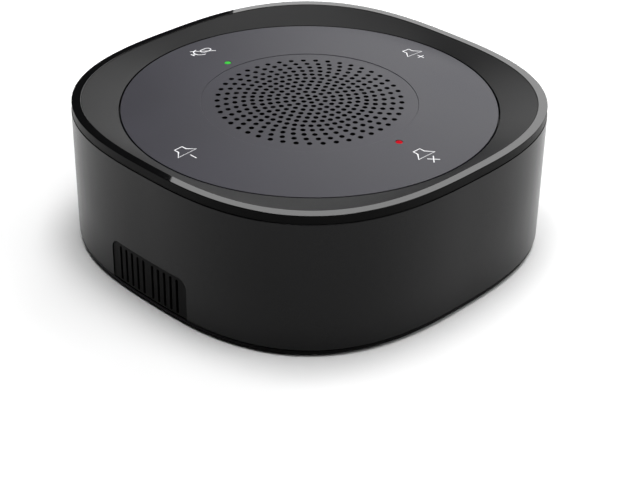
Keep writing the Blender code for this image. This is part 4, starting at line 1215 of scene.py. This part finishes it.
class SPEAKERPHONE_OT_stage(bpy.types.Operator):
    """Set the pale floor, the soft studio light and the camera"""

    bl_idname = "speakerphone.stage"
    bl_label = "Stage"

    def paper(self, glow):
        """Matt white paper sweep: a pure white ground. Its emission, seen by camera, glossy and
        transmission rays, is painted light that rises with distance from the middle, whitening the floor
        away from the object while the object's shadow beside it stays.
        """
        painted_light_start, painted_light_full = 70 * MM, 170 * MM
        material, tree, where = started("white_paper_sweep", Roughness=0.9, Emission_Color=srgb("ffffff"))
        fibre = add_node(
            tree, "ShaderNodeTexNoise", {"Vector": where, "Scale": per_metre(60), "Detail": 2.0}
        )
        tone = add_node(
            tree, "ShaderNodeValToRGB", {"Fac": fibre.outputs["Fac"]},
            stops=[(0.3, srgb("f6f6f6")), (0.7, srgb("fafafa"))],
        )
        ray = add_node(tree, "ShaderNodeLightPath").outputs
        seen = ray["Is Camera Ray"]
        for kind in ("Is Glossy Ray", "Is Transmission Ray"):
            seen = add_node(tree, "ShaderNodeMath", {0: seen, 1: ray[kind]}, operation="ADD").outputs[0]
        # Painted light: the floor's emission rises with distance from the middle, from nothing near the
        # object to full strength farther out, for camera, glossy and transmission rays
        reach = add_node(tree, "ShaderNodeVectorMath", {0: where}, operation="LENGTH").outputs["Value"]
        rise = add_node(
            tree, "ShaderNodeMapRange",
            {"Value": reach, "From Min": painted_light_start, "From Max": painted_light_full, "To Max": glow},
            interpolation_type="SMOOTHSTEP",
        ).outputs["Result"]
        white = add_node(tree, "ShaderNodeMath", {0: seen, 1: rise}, operation="MULTIPLY").outputs[0]
        sockets = tree.nodes[SHADER].inputs
        tree.links.new(tone.outputs["Color"], sockets["Base Color"])
        tree.links.new(white, sockets["Emission Strength"])
        return material

    def softbox(self, context, name, power, at, size, turn=None):
        """A rectangular softbox, aimed at the object unless its turn is given in degrees."""
        light = bpy.data.lights.new(name, "AREA")
        light.shape = "RECTANGLE"
        light.size, light.size_y = size
        light.energy = power
        item = bpy.data.objects.new(name, light)
        item.location = at
        if turn:
            item.rotation_euler = [math.radians(angle) for angle in turn]
        else:
            aim = Vector((0, 0, CAD_BOX[1][2] / 2)) - Vector(at)
            item.rotation_euler = aim.to_track_quat("-Z", "Y").to_euler()
        context.scene.collection.objects.link(item)

    def camera(self, context, stage):
        """A camera where the photograph was taken."""
        data = bpy.data.cameras.new("camera")
        data.lens = stage.lens
        data.sensor_width = SENSOR_MM
        data.sensor_fit = "HORIZONTAL"
        data.shift_x, data.shift_y = stage.shift
        data.clip_start = 10 * MM
        item = bpy.data.objects.new("camera", data)
        item.location = stage.camera_at
        item.rotation_euler = stage.camera_turn
        context.scene.collection.objects.link(item)
        context.scene.camera = item

    def execute(self, context):
        stage = context.scene.speakerphone_stage
        floor_half = 3.0
        mesh = bmesh.new()
        bmesh.ops.create_grid(mesh, x_segments=1, y_segments=1, size=floor_half)
        data = bpy.data.meshes.new("floor")
        mesh.to_mesh(data)
        mesh.free()
        data.materials.append(self.paper(stage.glow))
        floor = bpy.data.objects.new("floor", data)
        context.scene.collection.objects.link(floor)

        self.softbox(
            context, "rear_softbox", stage.rear, at=(-0.235, 0.837, 0.514), size=(1.1, 0.6),
            turn=(57.6, 8.47, -160.34),
        )
        self.softbox(context, "top_softbox", stage.top, at=(-0.03, 0.03, 1.8), size=(1.0, 1.0))
        self.softbox(context, "right_softbox", stage.right, at=(0.8, 0.3, 0.8), size=(0.7, 0.7))

        world = bpy.data.worlds.new("studio")
        world.use_nodes = True
        back = world.node_tree.nodes["Background"]
        back.inputs["Color"].default_value = srgb("ffffff")
        back.inputs["Strength"].default_value = stage.world
        context.scene.world = world

        self.camera(context, stage)
        context.scene.view_settings.view_transform = "Standard"
        return {"FINISHED"}


GROUPS = {
    "speakerphone_housing": SpeakerphoneHousing,
    "speakerphone_panel": SpeakerphonePanel,
    "speakerphone_colours": SpeakerphoneColours,
    "speakerphone_stage": SpeakerphoneStage,
}
STEPS = (
    SPEAKERPHONE_OT_inner, SPEAKERPHONE_OT_wall, SPEAKERPHONE_OT_base, SPEAKERPHONE_OT_ring,
    SPEAKERPHONE_OT_dish, SPEAKERPHONE_OT_panel, SPEAKERPHONE_OT_grille, SPEAKERPHONE_OT_vent,
    SPEAKERPHONE_OT_lamps, SPEAKERPHONE_OT_signs, SPEAKERPHONE_OT_suspension, SPEAKERPHONE_OT_inlet,
    SPEAKERPHONE_OT_stage,
)


class SPEAKERPHONE_PT_sidebar(bpy.types.Panel):
    """The settings and the steps, in the order in which they are made"""

    bl_idname = "SPEAKERPHONE_PT_sidebar"
    bl_label = "Speakerphone"
    bl_space_type = "VIEW_3D"
    bl_region_type = "UI"
    bl_category = "Speakerphone"

    def draw(self, context):
        for name, group in GROUPS.items():
            settings = self.layout.box()
            for setting in group.__annotations__:
                settings.prop(getattr(context.scene, name), setting)
        column = self.layout.column()
        for step in STEPS:
            column.operator(step.bl_idname)


def register():
    for name, group in GROUPS.items():
        bpy.utils.register_class(group)
        setattr(bpy.types.Scene, name, PointerProperty(type=group))
    for step in STEPS:
        bpy.utils.register_class(step)
    bpy.utils.register_class(SPEAKERPHONE_PT_sidebar)


def unregister():
    bpy.utils.unregister_class(SPEAKERPHONE_PT_sidebar)
    for step in reversed(STEPS):
        bpy.utils.unregister_class(step)
    for name, group in reversed(GROUPS.items()):
        delattr(bpy.types.Scene, name)
        bpy.utils.unregister_class(group)


def main():
    register()
    for step in STEPS:
        group, name = step.bl_idname.split(".")
        getattr(getattr(bpy.ops, group), name)()


if __name__ == "__main__":
    main()
